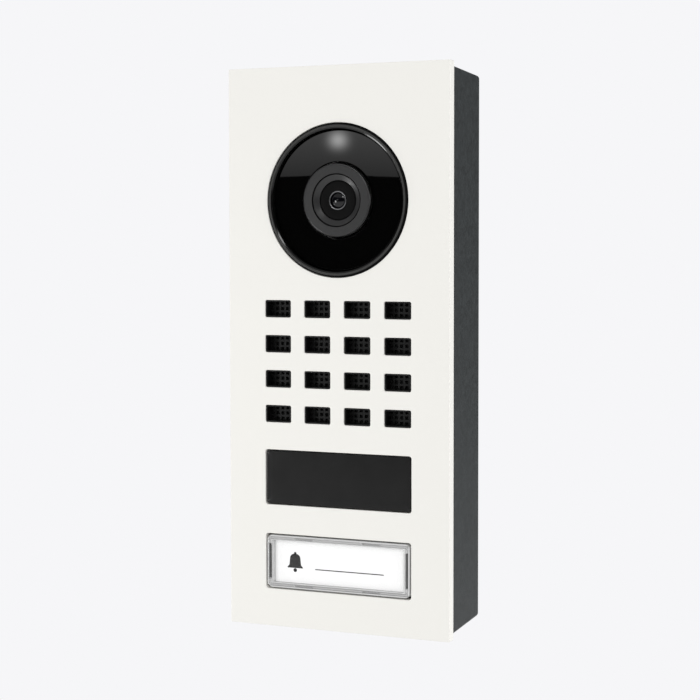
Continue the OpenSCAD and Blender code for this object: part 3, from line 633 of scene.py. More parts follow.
@shared
def clear_plastic():
    """Clear polished acrylic with a faint haze, clear over the card and near opaque over its thick frame,
    where painted bright and dark lines stand for its refractions and reflections and painted shade darkens
    the end grooves.
    """
    f = Finish("clear_plastic", ior=1.49)
    x, _, z = f.split(f.place)
    card, cover = size("name_card") / MM / 2, size("button_cover") / MM / 2
    side = x.function("ABSOLUTE")
    rise = (z - centre("name_card").z / MM).function("ABSOLUTE")
    over_card = (card.x - 0.1 - side).least(card.z - 0.1 - rise)
    thick = 1 - (over_card * 14).least(1).most(0)
    haze = f.noise(0.5, 3)
    inset = (cover.x - side).least(cover.z - rise)
    painted_light_bands = f.node("ShaderNodeValToRGB", {"stops": COVER_LIGHT_AND_SHADE_BANDS}, {"Fac": inset / COVER_BAND_WIDTH}, "Color")
    # Painted shade in the end grooves, which are also made less clear.
    groove = ((side - (cover.x - END_RAIL)).function("ABSOLUTE") - 0.36).most(rise - 4.8)
    hollow = (0.5 - groove * 8).least(1).most(0)
    tone = f.blend(hollow, painted_light_bands, (0.13, 0.13, 0.13))
    f.set("Base Color", f.blend(haze * 0.12, tone, (0.8, 0.805, 0.805)))
    f.set("Alpha", 0.01 + thick * (0.68 + haze * 0.1 + hollow * 0.1))
    f.set("Roughness", 0.06 + haze * 0.08)
    return f


@shared
def frosted_plastic():
    """Frosted white light guide."""
    f = Finish("frosted_plastic", specular_ior_level=0.5)
    cloud = f.noise(0.4, 2)
    fine = f.noise(6, 2)
    f.set("Base Color", f.blend(cloud, (0.62, 0.64, 0.64), (0.7, 0.71, 0.71)))
    f.set("Roughness", 0.35 + (fine - 0.5) * 0.2)
    f.bump(fine, 0.15, 0.02)
    return f


@shared
def card_paper_painted_glow():
    """Smooth white card with short fibres, with a faint even emission that paints a glow onto it and lifts
    the shade near its frame.
    """
    f = Finish("card_paper_painted_glow", specular_ior_level=0.3, emission_color=(1, 1, 1), emission_strength=0.045)
    fibres = f.noise(3, 4, 0.7)
    white = Vector(colours().card)
    f.set("Base Color", f.blend(fibres, tuple(white), tuple(white * 0.97)))
    f.set("Roughness", 0.75 + (fibres - 0.5) * 0.2)
    f.bump(fibres, 0.08, 0.01)
    return f


@shared
def card_ink():
    """Dark printing ink."""
    f = Finish("card_ink", specular_ior_level=0.3)
    spread = f.noise(5, 3)
    ink = Vector(colours().ink)
    f.set("Base Color", f.blend(spread, tuple(ink), tuple(ink * 1.6)))
    f.set("Roughness", 0.55 + (spread - 0.5) * 0.2)
    return f


@shared
def rubber():
    """Matt black rubber with a dusty bloom."""
    f = Finish("seal_rubber", specular_ior_level=0.3)
    bloom = f.noise(0.6, 4)
    fine = f.noise(8, 2)
    f.set("Base Color", f.blend(bloom, (0.012, 0.012, 0.012), (0.03, 0.03, 0.029)))
    f.set("Roughness", 0.72 + bloom * 0.2)
    f.bump(fine, 0.25, 0.03)
    return f


@shared
def woven_cloth():
    """Tight black cloth that keeps dust out of the speaker."""
    f = Finish("woven_cloth", specular_ior_level=0.2, sheen_weight=0.3)
    x, _, z = f.split(f.place)
    warp = (x * 28).function("SINE")
    weft = (z * 28).function("SINE")
    f.set("Base Color", f.blend(f.noise(1, 2), (0.006, 0.006, 0.006), (0.012, 0.012, 0.012)))
    f.set("Roughness", 0.8 + warp * weft * 0.1)
    f.bump(warp * weft, 0.5, 0.05)
    return f


@shared
def metal(name, colour, roughness=0.3, grain=0.25):
    """Bare or plated metal with a fine drawn grain."""
    f = Finish(name, metallic=1.0)
    stretched = f.node("ShaderNodeMapping", {}, {"Vector": f.place, "Scale": (1, 12, 1)})
    drawn = f.noise(2, 3, 0.6, stretched)
    tarnish = f.noise(0.4, 3)
    f.set("Base Color", f.blend(tarnish, tuple(Vector(colour) * 0.85), tuple(Vector(colour))))
    f.set("Roughness", roughness + (drawn - 0.5) * 0.25 + (tarnish - 0.5) * 0.1)
    f.bump(drawn, grain, 0.01)
    return f


@shared
def solder_mask():
    """Green circuit board with tracks under the mask."""
    f = Finish("solder_mask", specular_ior_level=0.5)
    steps = f.node("ShaderNodeTexVoronoi", {"distance": "CHEBYCHEV"}, {
        "Vector": f.place, "Scale": 0.5}, "Distance")
    track = ((steps * 9).function("SINE")) > 0.55
    f.set("Base Color", f.blend(track, (0.006, 0.055, 0.022), (0.02, 0.12, 0.05)))
    f.set("Roughness", 0.38 - track * 0.08)
    f.bump(track, 0.3, 0.02)
    return f


@shared
def winding():
    """Enamelled copper wire, wound side by side."""
    f = Finish("winding", metallic=1.0)
    x, y, z = f.split(f.place)
    wires = ((x + z + y) * 26).function("SINE")
    f.set("Base Color", f.blend(wires * 0.5 + 0.5, (0.42, 0.16, 0.05), (0.78, 0.36, 0.16)))
    f.set("Roughness", 0.3 + f.noise(2, 2) * 0.15)
    f.bump(wires, 0.5, 0.04)
    return f


@shared
def tinted_glass(name, colour):
    """Thin optical filter glass."""
    f = Finish(name, base_color=colour, ior=1.5, transmission_weight=0.8)
    f.set("Roughness", 0.02 + f.noise(1, 2) * 0.02)
    return f


@shared
def cone_paper():
    """Coated paper of the speaker cone."""
    f = Finish("cone_paper", specular_ior_level=0.3)
    fibres = f.noise(2.5, 5, 0.7)
    f.set("Base Color", f.blend(fibres, (0.018, 0.018, 0.018), (0.04, 0.04, 0.038)))
    f.set("Roughness", 0.7 + (fibres - 0.5) * 0.3)
    f.bump(fibres, 0.4, 0.05)
    return f


def polished_edge():
    """Sharp moulded edge that catches the light, in a near-black that paints a dark band of shade along the
    edge.
    """
    return satin_plastic("polished_edge", (0.004, 0.004, 0.004), 0.11, 0.03, 0.4)


def matt_black():
    """Near-black finish that paints the shade of narrow gaps and recesses onto the faces beside them."""
    return satin_plastic("matt_black", (0.004, 0.004, 0.004), 0.6, 0.2, 0.05)


def black_plastic():
    return satin_plastic("black_plastic", (0.018, 0.018, 0.02), 0.5, 0.3)


def white_plastic():
    return satin_plastic("white_plastic", (0.72, 0.72, 0.69), 0.45, 0.15)


# ---------------------------------------------------------------- panel and housing


def slot_spots():
    """Centres (x, z) of the speaker grille's slots."""
    s = sizes()
    middle, room = centre("inner_grille"), size("inner_grille")
    step_x = (room.x - 2 * s.grille_margin - s.slot_width) / (s.slot_columns - 1)
    step_z = (room.z - 2 * s.grille_margin - s.slot_height) / (s.slot_rows - 1)
    last_column, last_row = s.slot_columns - 1, s.slot_rows - 1
    return [
        (middle.x + (i - last_column / 2) * step_x, middle.z + (j - last_row / 2) * step_z)
        for i in range(s.slot_columns) for j in range(s.slot_rows)
    ]


class DOORSTATION_OT_front_panel(bpy.types.Operator):
    """Makes the coated front panel with its openings and studs"""

    bl_idname = "door_station.front_panel"
    bl_label = "Front panel"

    def execute(self, context):
        s = sizes()
        room = size("front_panel")
        bezel, window, button = centre("camera_bezel"), centre("sensor_window"), centre("button_cover")
        hole_radius = size("camera_window").x / 2 + s.window_gap + s.bezel_ring + s.bezel_gap
        pane = size("sensor_window") - Vector((2, 0, 2)) * (s.flange - s.insert_gap)
        key = size("button_cover") + Vector((2, 0, 2)) * s.button_gap
        slot_corner, opening_corner = 0.5 * MM, 0.8 * MM
        loops = [rectangle(room.x, room.z, s.panel_corner)]
        loops.append(circle(hole_radius, bezel.x, bezel.z, FINE))
        loops += [rectangle(s.slot_width, s.slot_height, slot_corner, x, z) for x, z in slot_spots()]
        loops.append(rectangle(pane.x, pane.z, opening_corner, window.x, window.z))
        loops.append(rectangle(key.x, key.z, opening_corner, button.x, button.z))
        bm = add_sheet(bmesh.new(), loops, FACE_Y, PANEL_BACK_Y, s.panel_edge)
        root, tip, radius = PANEL_BACK_Y - 0.5 * MM, back("front_panel"), 1 * MM
        path = eased([(0, root), (radius, root), (radius, tip, 0.2 * MM), (0, tip)])
        for stud_x, stud_z in stud_spots():
            turned(bm, path, Vector((stud_x, 0, stud_z)), 32, closed=False)
        settle(shape("front_panel_plate", bm), "front_panel", panel_coat())
        return {"FINISHED"}


def stud_spots():
    """Centres (x, z) of the panel's studs, where the chassis nuts are."""
    points = [v.co for v in frame["nodes"]["chassis_nuts"].data.vertices]
    spots = []
    for p in points:
        near = [s for s in spots if abs(s[0] - p.x) < 4 * MM and abs(s[1] - p.z) < 4 * MM]
        if near:
            near[0][2].append(p)
        else:
            spots.append((p.x, p.z, [p]))
    middles = []
    for _, _, group in spots:
        across, up = [p.x for p in group], [p.z for p in group]
        middles.append(((min(across) + max(across)) / 2, (min(up) + max(up)) / 2))
    return middles


class DOORSTATION_OT_housing(bpy.types.Operator):
    """Makes the drafted surface housing with its screw holes and cable entry"""

    bl_idname = "door_station.housing"
    bl_label = "Surface housing"

    def execute(self, context):
        s = sizes()
        rim_y = front("surface_housing")
        past_gasket, wall, floor_y = 0.4 * MM, 2.855 * MM, -2 * MM
        room = size("housing_gasket") + Vector((1, 0, 1)) * past_gasket
        slope = math.tan(s.housing_draft)
        path = eased([
            (wall, floor_y), (wall, rim_y, 0.3 * MM), (0, rim_y, 0.3 * MM),
            (-rim_y * slope, 0, s.back_edge), (8 * MM, 0)], steps=8)
        bm = bmesh.new()
        loops = [
            [(x, y, z) for x, z in rectangle(room.x - 2 * d, room.z - 2 * d, s.housing_corner)]
            for d, y in path
        ]
        skin(bm, loops)
        shell = shape("surface_housing_shell", bm)
        cut(shell, self.cutter(s, floor_y))
        settle(shell, "surface_housing", housing_coat())
        return {"FINISHED"}

    def cutter(self, s, floor_y):
        """The wall screw holes, the cable entry and the security screws' counterbores."""
        bm = bmesh.new()
        chamfer, cable_hole, shank, head, head_room = 0.2 * MM, 12 * MM, 1.7 * MM, 3 * MM, 2.05 * MM
        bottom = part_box("surface_housing")[0].z
        pattern = frame["record"]["mounts"][0]["dims"]
        for sx in (-0.5, 0.5):
            for sz in (-0.5, 0.5):
                spot = Vector((sx * pattern["spacing_x_mm"], 0, sz * pattern["spacing_y_mm"])) * MM
                self.hole(bm, s.screw_hole / 2, floor_y, spot, chamfer)
        self.hole(bm, cable_hole, floor_y, centre("cable_grommet"), chamfer)
        for screw in screw_spots("security_screws"):
            start = bottom - 2 * MM
            for radius, end in ((shank, screw.z + 10 * MM), (head, bottom + head_room)):
                bmesh.ops.create_cone(
                    bm, cap_ends=True, segments=48, radius1=radius, radius2=radius, depth=end - start,
                    matrix=Matrix.Translation((screw.x, screw.y, (end + start) / 2)))
        return shape("cutter", bm)

    def hole(self, bm, radius, floor_y, middle, chamfer):
        """A through hole with chamfered mouths."""
        past = 1 * MM
        mouth = radius + past + chamfer
        path = [
            (0, floor_y - past), (mouth, floor_y - past), (radius, floor_y + chamfer),
            (radius, -chamfer), (mouth, past), (0, past)]
        turned(bm, path, middle, 64, closed=False)


def screw_spots(node):
    """Centres of a pair of like pieces that stand left and right of the middle."""
    spots = []
    for side in (-1, 1):
        points = [v.co for v in frame["nodes"][node].data.vertices if v.co.x * side > 0]
        low = Vector(min(p[i] for p in points) for i in range(3))
        high = Vector(max(p[i] for p in points) for i in range(3))
        spots.append(Vector(((low.x + high.x) / 2, (low.y + high.y) / 2, low.z)))
    return spots


# ---------------------------------------------------------------- camera


class DOORSTATION_OT_bezel(bpy.types.Operator):
    """Makes the camera's bezel ring and its seal"""

    bl_idname = "door_station.bezel"
    bl_label = "Camera bezel"

    def execute(self, context):
        s = sizes()
        inner = size("camera_window").x / 2 + s.window_gap
        outer = inner + s.bezel_ring
        flange = size("camera_bezel").x / 2
        lip, chamfer = inner - 2.2 * MM, 0.4 * MM
        near, seat, seal_back, far = (
            front("camera_bezel"), back("camera_window"), back("bezel_gasket"), back("camera_bezel"))
        path = eased([
            (lip, seat), (inner, seat), (inner, near + 0.4 * MM), (inner, near + 0.26 * MM, 0.04 * MM),
            (inner + chamfer, near, 0.1 * MM),
            (outer - chamfer, near, 0.1 * MM), (outer, near + 0.32 * MM, 0.1 * MM),
            (outer, seal_back), (flange, seal_back), (flange, far),
            (lip, far)], closed=True)
        middle = centre("camera_bezel")
        bm = turned(bmesh.new(), path, middle, FINE)
        # Painted shade: the inner wall and the outer chamfer and wall get the near-black gap finish, which
        # paints a dark line of shade round the ring.
        shaded(bm, middle, lip, inner + 0.02 * MM, near + 0.3 * MM)
        shaded(bm, middle, outer - 0.36 * MM, flange, near + 0.005 * MM)
        # Painted shade: the inner chamfer gets the glossy edge finish, whose near-black colour paints a dark
        # band of shade; its gloss catches the lamps.
        shaded(bm, middle, inner - 0.01 * MM, inner + 0.34 * MM, near + 0.03 * MM, 2)
        settle(shape("camera_bezel_ring", bm), "camera_bezel", satin_plastic(
            "bezel_plastic", tuple(colours().bezel), 0.27), matt_black(), polished_edge())
        dress(rubber(), "bezel_gasket")
        return {"FINISHED"}


class DOORSTATION_OT_window(bpy.types.Operator):
    """Makes the black window round the lens"""

    bl_idname = "door_station.window"
    bl_label = "Camera window"

    def execute(self, context):
        s = sizes()
        outer = size("camera_window").x / 2
        inner = s.collar_radius + s.collar_gap
        near, far = front("camera_bezel") + s.window_recess, back("camera_window")
        edge, bevel = 0.12 * MM, 0.45 * MM
        path = eased([(inner, near, edge), (outer - bevel, near, edge), (outer, near + bevel),
                      (outer, far), (inner, far)], closed=True)
        bm = turned(bmesh.new(), path, centre("camera_window"), FINE)
        settle(shape("camera_window_disc", bm), "camera_window", gloss_black())
        return {"FINISHED"}


class DOORSTATION_OT_lens(bpy.types.Operator):
    """Makes the lens collar, the barrel and the front lens"""

    bl_idname = "door_station.lens"
    bl_label = "Lens"

    def execute(self, context):
        self.collar()
        self.barrel()
        self.front_lens()
        return {"FINISHED"}

    def collar(self):
        """Collar with a chamfered rim and a conical mouth with a fine step."""
        near, far = front("lens_collar"), back("lens_collar")
        outer = sizes().collar_radius
        bore = size("lens_barrel").x / 2 + 0.05 * MM
        mouth = bore + 1.85 * MM
        deep = front("lens_barrel") + 0.2 * MM
        seat = back("camera_window")
        sleeve, seat_hole = min(size("lens_holder").x / 2, outer - 0.6 * MM), bore + 1.95 * MM
        path = eased([
            (bore, deep), (bore + 0.12 * MM, deep - 0.1 * MM, 0.05 * MM),
            (mouth - 0.32 * MM, near + 0.22 * MM, 0.05 * MM), (mouth - 0.26 * MM, near + 0.5 * MM),
            (mouth - 0.04 * MM, near + 0.5 * MM), (mouth, near, 0.05 * MM),
            (outer - 0.55 * MM, near, 0.06 * MM), (outer - 0.38 * MM, near + 0.14 * MM, 0.05 * MM),
            (outer - 0.2 * MM, near + 0.1 * MM, 0.05 * MM), (outer, near + 0.34 * MM, 0.08 * MM),
            (outer, seat), (outer - 0.4 * MM, seat + 0.6 * MM),
            (sleeve, far), (seat_hole, far), (seat_hole, deep + 2 * MM),
            (bore, deep + 2 * MM)], closed=True)
        middle = centre("lens_collar")
        bm = turned(bmesh.new(), path, middle, 160)
        # Painted shade: the outer wall and chamfer and the step in the mouth get the near-black gap finish,
        # which paints dark lines of shade.
        shaded(bm, middle, outer - 0.5 * MM, outer + 0.1 * MM, near + 0.36 * MM)
        shaded(bm, middle, mouth - 0.34 * MM, mouth - 0.01 * MM, near + 0.24 * MM)
        # Painted shade: the front of the outer chamfer gets the glossy edge finish, whose near-black colour
        # paints a band of shade; its gloss catches the lamps.
        shaded(bm, middle, outer - 0.22 * MM, outer + 0.01 * MM, near + 0.1 * MM, 2)
        settle(shape("lens_collar_ring", bm), "lens_collar", turned_plastic(
            "collar_plastic", "lens_collar", tuple(colours().collar), 0.36), matt_black(), polished_edge())

    def barrel(self):
        """Barrel with a raised ring round the front lens and stepped baffles behind it."""
        near, far = front("lens_barrel"), back("lens_barrel")
        outer = size("lens_barrel").x / 2
        glass = size("front_lens").x / 2
        rear = size("rear_lens").x / 2
        face = near + 0.2 * MM
        path = eased([
            (glass + 0.05 * MM, face + 0.1 * MM), (glass + 0.38 * MM, face + 0.1 * MM),
            (glass + 0.42 * MM, face, 0.02 * MM),
            (outer - 0.35 * MM, face, 0.08 * MM), (outer, face + 0.25 * MM, 0.08 * MM), (outer, far),
            (rear + 0.05 * MM, far), (rear + 0.05 * MM, face + 3 * MM), (glass - 0.8 * MM, face + 3 * MM),
            (glass - 0.8 * MM, face + 1.4 * MM), (glass + 0.05 * MM, face + 1.4 * MM)], closed=True)
        bm = turned(bmesh.new(), path, centre("lens_barrel"), 128)
        settle(shape("lens_barrel_tube", bm), "lens_barrel", turned_plastic(
            "barrel_plastic", "lens_barrel", (0.003, 0.003, 0.003), 0.45, 0.25, 0.1))
        path = eased([
            (glass + 0.04 * MM, face + 0.1 * MM), (glass + 0.04 * MM, near + 0.06 * MM, 0.05 * MM),
            (glass + 0.2 * MM, near, 0.07 * MM), (glass + 0.36 * MM, near + 0.06 * MM, 0.06 * MM),
            (glass + 0.36 * MM, face + 0.1 * MM)], closed=True)
        ring = turned(bmesh.new(), path, centre("lens_barrel"), 128)
        settle(shape("lens_retaining_ring", ring), "lens_barrel", metal(
            "black_anodised", (0.3, 0.3, 0.31), 0.3, 0.1), stands_for=False)

    def front_lens(self):
        """Domed front lens with a ground edge."""
        radius = size("front_lens").x / 2
        near, far = front("front_lens"), back("front_lens")
        dome = radius * 1.5
        sweep = math.asin(0.97 * radius / dome)
        path = [(dome * math.sin(sweep * k / 16), near + dome * (1 - math.cos(sweep * k / 16)))
                for k in range(17)]
        path += [(radius, path[-1][1] + 0.1 * MM), (radius, far), (0, far)]
        bm = turned(bmesh.new(), path, centre("front_lens"), 96, closed=False)
        settle(shape("front_lens_glass", bm), "front_lens", coated_glass())


# ---------------------------------------------------------------- grille and sensor window


class DOORSTATION_OT_grille(bpy.types.Operator):
    """Makes the perforated inner grille and the cloth behind it"""

    bl_idname = "door_station.grille"
    bl_label = "Speaker grille"

    def execute(self, context):
        bm = softened(bmesh.new(), "inner_grille", 0.06 * MM, 1)
        settle(shape("inner_grille_plate", bm), "inner_grille", satin_plastic(
            "grille_paint", tuple(colours().grille), 0.45, 0.2, 0.3))
        dress(woven_cloth(), "acoustic_mesh")
        return {"FINISHED"}


class DOORSTATION_OT_sensor_window(bpy.types.Operator):
    """Makes the dark window over the card reader and the motion sensor"""

    bl_idname = "door_station.sensor_window"
    bl_label = "Sensor window"

    def execute(self, context):
        s = sizes()
        middle, room = centre("sensor_window"), size("sensor_window")
        near, far = front("sensor_window"), back("sensor_window")
        step = s.flange + s.insert_gap + 0.12 * MM
        path = eased([
            (4 * MM, near), (step, near, 0.22 * MM), (step, PANEL_BACK_Y), (0, PANEL_BACK_Y),
            (0, far), (4 * MM, far)])
        bm = rect_loft(bmesh.new(), room.x, room.z, step + 0.7 * MM, path, middle)
        settle(shape("sensor_window_pane", bm), "sensor_window", satin_plastic(
            "sensor_plastic", tuple(colours().sensor), 0.2, 0.03, 0.3))
        return {"FINISHED"}


# ---------------------------------------------------------------- call button


# From the cover's outline to the middle of its end rails and of its side rails, in millimetres
END_RAIL, SIDE_RAIL = 0.95, 0.78


class DOORSTATION_OT_call_button(bpy.types.Operator):
    """Makes the clear button cover, the name card and the light guide"""

    bl_idname = "door_station.call_button"
    bl_label = "Call button"

    def execute(self, context):
        self.cover()
        self.card()
        self.guide()
        dress(black_plastic(), "button_carrier")
        return {"FINISHED"}

    def cover(self):
        """Clear tray with a raised frame, end grooves, clip notches and corner beads."""
        middle, room = centre("button_cover"), size("button_cover")
        near, far = front("button_cover"), back("button_cover")
        sheet = front("name_card")
        wall = 1 * MM
        corner = 1.5 * MM
        outline = rectangle(room.x, room.z, corner, middle.x, middle.z)
        step = 0.16 * MM
        counts = [max(1, round(math.dist(a, b) / step)) for a, b in zip(outline, outline[1:] + outline[:1])]
        insets = [0.02, 0.06, 0.12, 0.2, 0.28] + [0.35 + 0.09 * k for k in range(26)]
        loops = [[(x, sheet, z) for x, z in self.ring(room, corner, middle, wall, counts)]]
        loops += [[(x, y, z) for x, z in self.ring(room, corner, middle, inset, counts)]
                  for inset, y in ((wall, far), (0, far))]
        for inset in insets:
            loops.append([
                (x, near + self.relief(room, (x - middle.x) / MM, (z - middle.z) / MM, inset) * MM, z)
                for x, z in self.ring(room, corner, middle, inset * MM, counts)])
        bm = skin(bmesh.new(), loops)
        settle(shape("button_cover_shell", bm), "button_cover", clear_plastic(), sharp=60)

    def ring(self, room, corner, middle, inset, counts):
        """Points round the cover's outline, set in by inset."""
        outline = rectangle(
            room.x - 2 * inset, room.z - 2 * inset, max(corner - inset, 0.15 * MM), middle.x, middle.z)
        return divided(outline, counts)

    def relief(self, room, x, z, inset):
        """How far the cover's face lies behind its frontmost level, in millimetres."""
        card = size("name_card") / MM / 2
        end_rail, side_rail = room.x / MM / 2 - END_RAIL, room.z / MM / 2 - SIDE_RAIL
        u, v = abs(x), abs(z)
        edge = 0.35
        depth = edge - math.sqrt(edge ** 2 - max(edge - inset, 0) ** 2)
        rail_hollow, card_step, groove_depth, notch_depth = 0.16, 0.3, 0.9, 0.35
        depth += rail_hollow * ease(0.45, 0.6, inset) * (1 - ease(0.95, 1.1, inset))
        depth += card_step * ease(-0.22, 0.06, min(card.x - u, card.z - v))
        groove = max(abs(u - end_rail) - 0.36, v - 4.85)
        depth += groove_depth * (1 - ease(-0.1, 0.08, groove))
        notch = max(abs(u - 10.25) - 2.7, abs(v - side_rail) - 0.2)
        depth += notch_depth * (1 - ease(-0.08, 0.06, notch))
        beads = ((end_rail, 5.45, 0.5), (7.4, side_rail, 0.26), (13.1, side_rail, 0.26))
        for bead_u, bead_v, radius in beads:
            away = math.hypot(u - bead_u, v - bead_v) / radius
            depth -= 0.6 * radius * math.sqrt(max(1 - away ** 2, 0))
        return max(depth, 0)

    def card(self):
        """Paper card with a bell pictogram and a line to write on."""
        middle, room = centre("name_card"), size("name_card")
        near, far = front("name_card") + 0.02 * MM, back("name_card")
        bm = add_sheet(bmesh.new(), [rectangle(room.x, room.z, 0.3 * MM, middle.x, middle.z)],
                       near, far, 0.03 * MM)
        paper = len(bm.faces)
        for loops in self.pictogram(middle):
            add_sheet(bm, loops, near - 0.01 * MM, near + 0.05 * MM, 0.004 * MM)
        bm.faces.ensure_lookup_table()
        for face in bm.faces[paper:]:
            face.material_index = 1
        settle(shape("name_card_paper", bm), "name_card", card_paper_painted_glow(), card_ink())

    def pictogram(self, middle):
        """Outlines of a small bell and of a ruled line."""
        bell_x, z = middle.x - 13.5 * MM, middle.z
        body = eased([
            (bell_x - 2.6 * MM, z - 1.7 * MM, 0.15 * MM), (bell_x + 2.6 * MM, z - 1.7 * MM, 0.15 * MM),
            (bell_x + 1.8 * MM, z - 0.8 * MM, 0.5 * MM), (bell_x + 1.5 * MM, z + 2.3 * MM, 1.3 * MM),
            (bell_x - 1.5 * MM, z + 2.3 * MM, 1.3 * MM), (bell_x - 1.8 * MM, z - 0.8 * MM, 0.5 * MM)],
            closed=True)
        return [
            [body],
            [circle(0.55 * MM, bell_x, z - 2.3 * MM, 24)],
            [circle(0.4 * MM, bell_x, z + 2.45 * MM, 24)],
            [rectangle(21 * MM, 0.28 * MM, 0.1 * MM, middle.x + 3.2 * MM, z - 1.7 * MM, 3)]]

    def guide(self):
        """Frosted light guide with a groove round the card."""
        middle, room = centre("button_diffuser"), size("button_diffuser")
        near, far = front("button_diffuser"), back("button_diffuser")
        path = eased([
            (4 * MM, near), (0.95 * MM, near), (0.8 * MM, near - 0.25 * MM, 0.06 * MM),
            (0.5 * MM, near - 0.25 * MM, 0.06 * MM), (0.4 * MM, near + 0.3 * MM, 0.06 * MM),
            (0.1 * MM, near + 0.3 * MM, 0.06 * MM), (0.05 * MM, far), (4 * MM, far)])
        bm = rect_loft(bmesh.new(), room.x, room.z, 0.6 * MM, path, middle)
        settle(shape("button_light_guide", bm), "button_diffuser", frosted_plastic())


# ---------------------------------------------------------------- seals, fasteners and inner pieces


class DOORSTATION_OT_seals(bpy.types.Operator):
    """Finishes the gaskets and makes the ribbed cable grommet"""

    bl_idname = "door_station.seals"
    bl_label = "Seals"

    def execute(self, context):
        dress(rubber(), "housing_gasket", "cover_gasket", "speaker_gasket", "microphone_boot")
        low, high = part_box("cable_grommet")
        flange = (high.x - low.x) / 2
        neck, bore = flange - 1.5 * MM, 5 * MM
        step = low.y + 1.2 * MM
        path = eased([
            (bore, low.y, 0.3 * MM), (flange, low.y, 0.4 * MM), (flange, step, 0.2 * MM), (neck, step),
            (neck, high.y, 0.3 * MM), (neck - 1.2 * MM, high.y, 0.3 * MM),
            (neck - 1.8 * MM, high.y - 0.9 * MM, 0.3 * MM), (neck - 3 * MM, high.y - 0.9 * MM, 0.3 * MM),
            (neck - 3.4 * MM, high.y - 0.3 * MM, 0.2 * MM), (bore + 1.2 * MM, high.y - 0.3 * MM, 0.3 * MM),
            (bore, high.y - 0.9 * MM, 0.3 * MM)], closed=True)
        bm = turned(bmesh.new(), path, centre("cable_grommet"), 96)
        settle(shape("cable_grommet_ring", bm), "cable_grommet", rubber())
        return {"FINISHED"}


class DOORSTATION_OT_fasteners(bpy.types.Operator):
    """Finishes the screws, nuts and pillars"""

    bl_idname = "door_station.fasteners"
    bl_label = "Fasteners"

    def execute(self, context):
        steel = metal("screw_steel", (0.5, 0.5, 0.52), 0.28)
        dress(steel, "chassis_nuts", "cover_screws", "camera_screws", "terminal_screws")
        dress(metal("brass", (0.72, 0.55, 0.26), 0.25), "board_pillars")
        bm = softened(bmesh.new(), "security_screws", 0.12 * MM)
        settle(shape("security_screw_pair", bm), "security_screws", steel)
        return {"FINISHED"}


class DOORSTATION_OT_chassis(bpy.types.Operator):
    """Finishes the moulded chassis, its cover and the button's guide"""

    bl_idname = "door_station.chassis"
    bl_label = "Chassis"

    def execute(self, context):
        dress(black_plastic(), "chassis", "rear_cover", "button_guide", "lens_holder")
        return {"FINISHED"}


class DOORSTATION_OT_sound(bpy.types.Operator):
    """Finishes the speaker and the microphone"""

    bl_idname = "door_station.sound"
    bl_label = "Speaker and microphone"

    def execute(self, context):
        dress(black_plastic(), "speaker_frame")
        dress(metal("nickel_plate", (0.5, 0.49, 0.46), 0.25), "speaker_magnet", "microphone")
        dress(cone_paper(), "speaker_cone")
        dress(winding(), "voice_coil")
        return {"FINISHED"}


class DOORSTATION_OT_optics(bpy.types.Operator):
    """Finishes the night filter, the rear lens and the lamps"""

    bl_idname = "door_station.optics"
    bl_label = "Inner optics"

    def execute(self, context):
        dress(white_plastic(), "filter_carriage", "lamp_board")
        dress(tinted_glass("filter_glass", (0.35, 0.75, 0.8)), "infrared_filter")
        dress(tinted_glass("plain_glass", (0.9, 0.95, 0.95)), "clear_filter", "rear_lens")
        dress(tinted_glass("lamp_resin", (0.75, 0.7, 0.75)), "infrared_lamps")
        dress(winding(), "filter_solenoid")
        dress(satin_plastic("sensor_chip", (0.05, 0.07, 0.06), 0.2, 0.05), "image_sensor")
        return {"FINISHED"}


class DOORSTATION_OT_electronics(bpy.types.Operator):
    """Finishes the circuit boards and what stands on them"""

    bl_idname = "door_station.electronics"
    bl_label = "Electronics"

    def execute(self, context):
        dress(solder_mask(), "camera_board", "reader_board", "button_board", "main_board")
        dress(metal("tinplate", (0.62, 0.62, 0.6), 0.3), "processor_shield")
        dress(metal("spring_steel", (0.55, 0.55, 0.56), 0.22), "button_springs")
        dress(metal("copper_foil", (0.75, 0.38, 0.18), 0.3), "reader_coil")
        dress(satin_plastic("ribbon_film", (0.35, 0.16, 0.03), 0.3, 0.05), "camera_flex")
        dress(satin_plastic("chip_epoxy", (0.02, 0.02, 0.02), 0.55, 0.3),
              "motion_sensor", "key_switches", "transformer", "capacitors")
        dress(white_plastic(), "switch_plungers", "relay", "network_terminal")
        dress(satin_plastic("lamp_lens", (0.75, 0.75, 0.6), 0.2, 0.05), "button_lamps")
        dress(satin_plastic("terminal_green", (0.015, 0.16, 0.06), 0.45, 0.2), "terminal_block")
        return {"FINISHED"}


# ---------------------------------------------------------------- stage


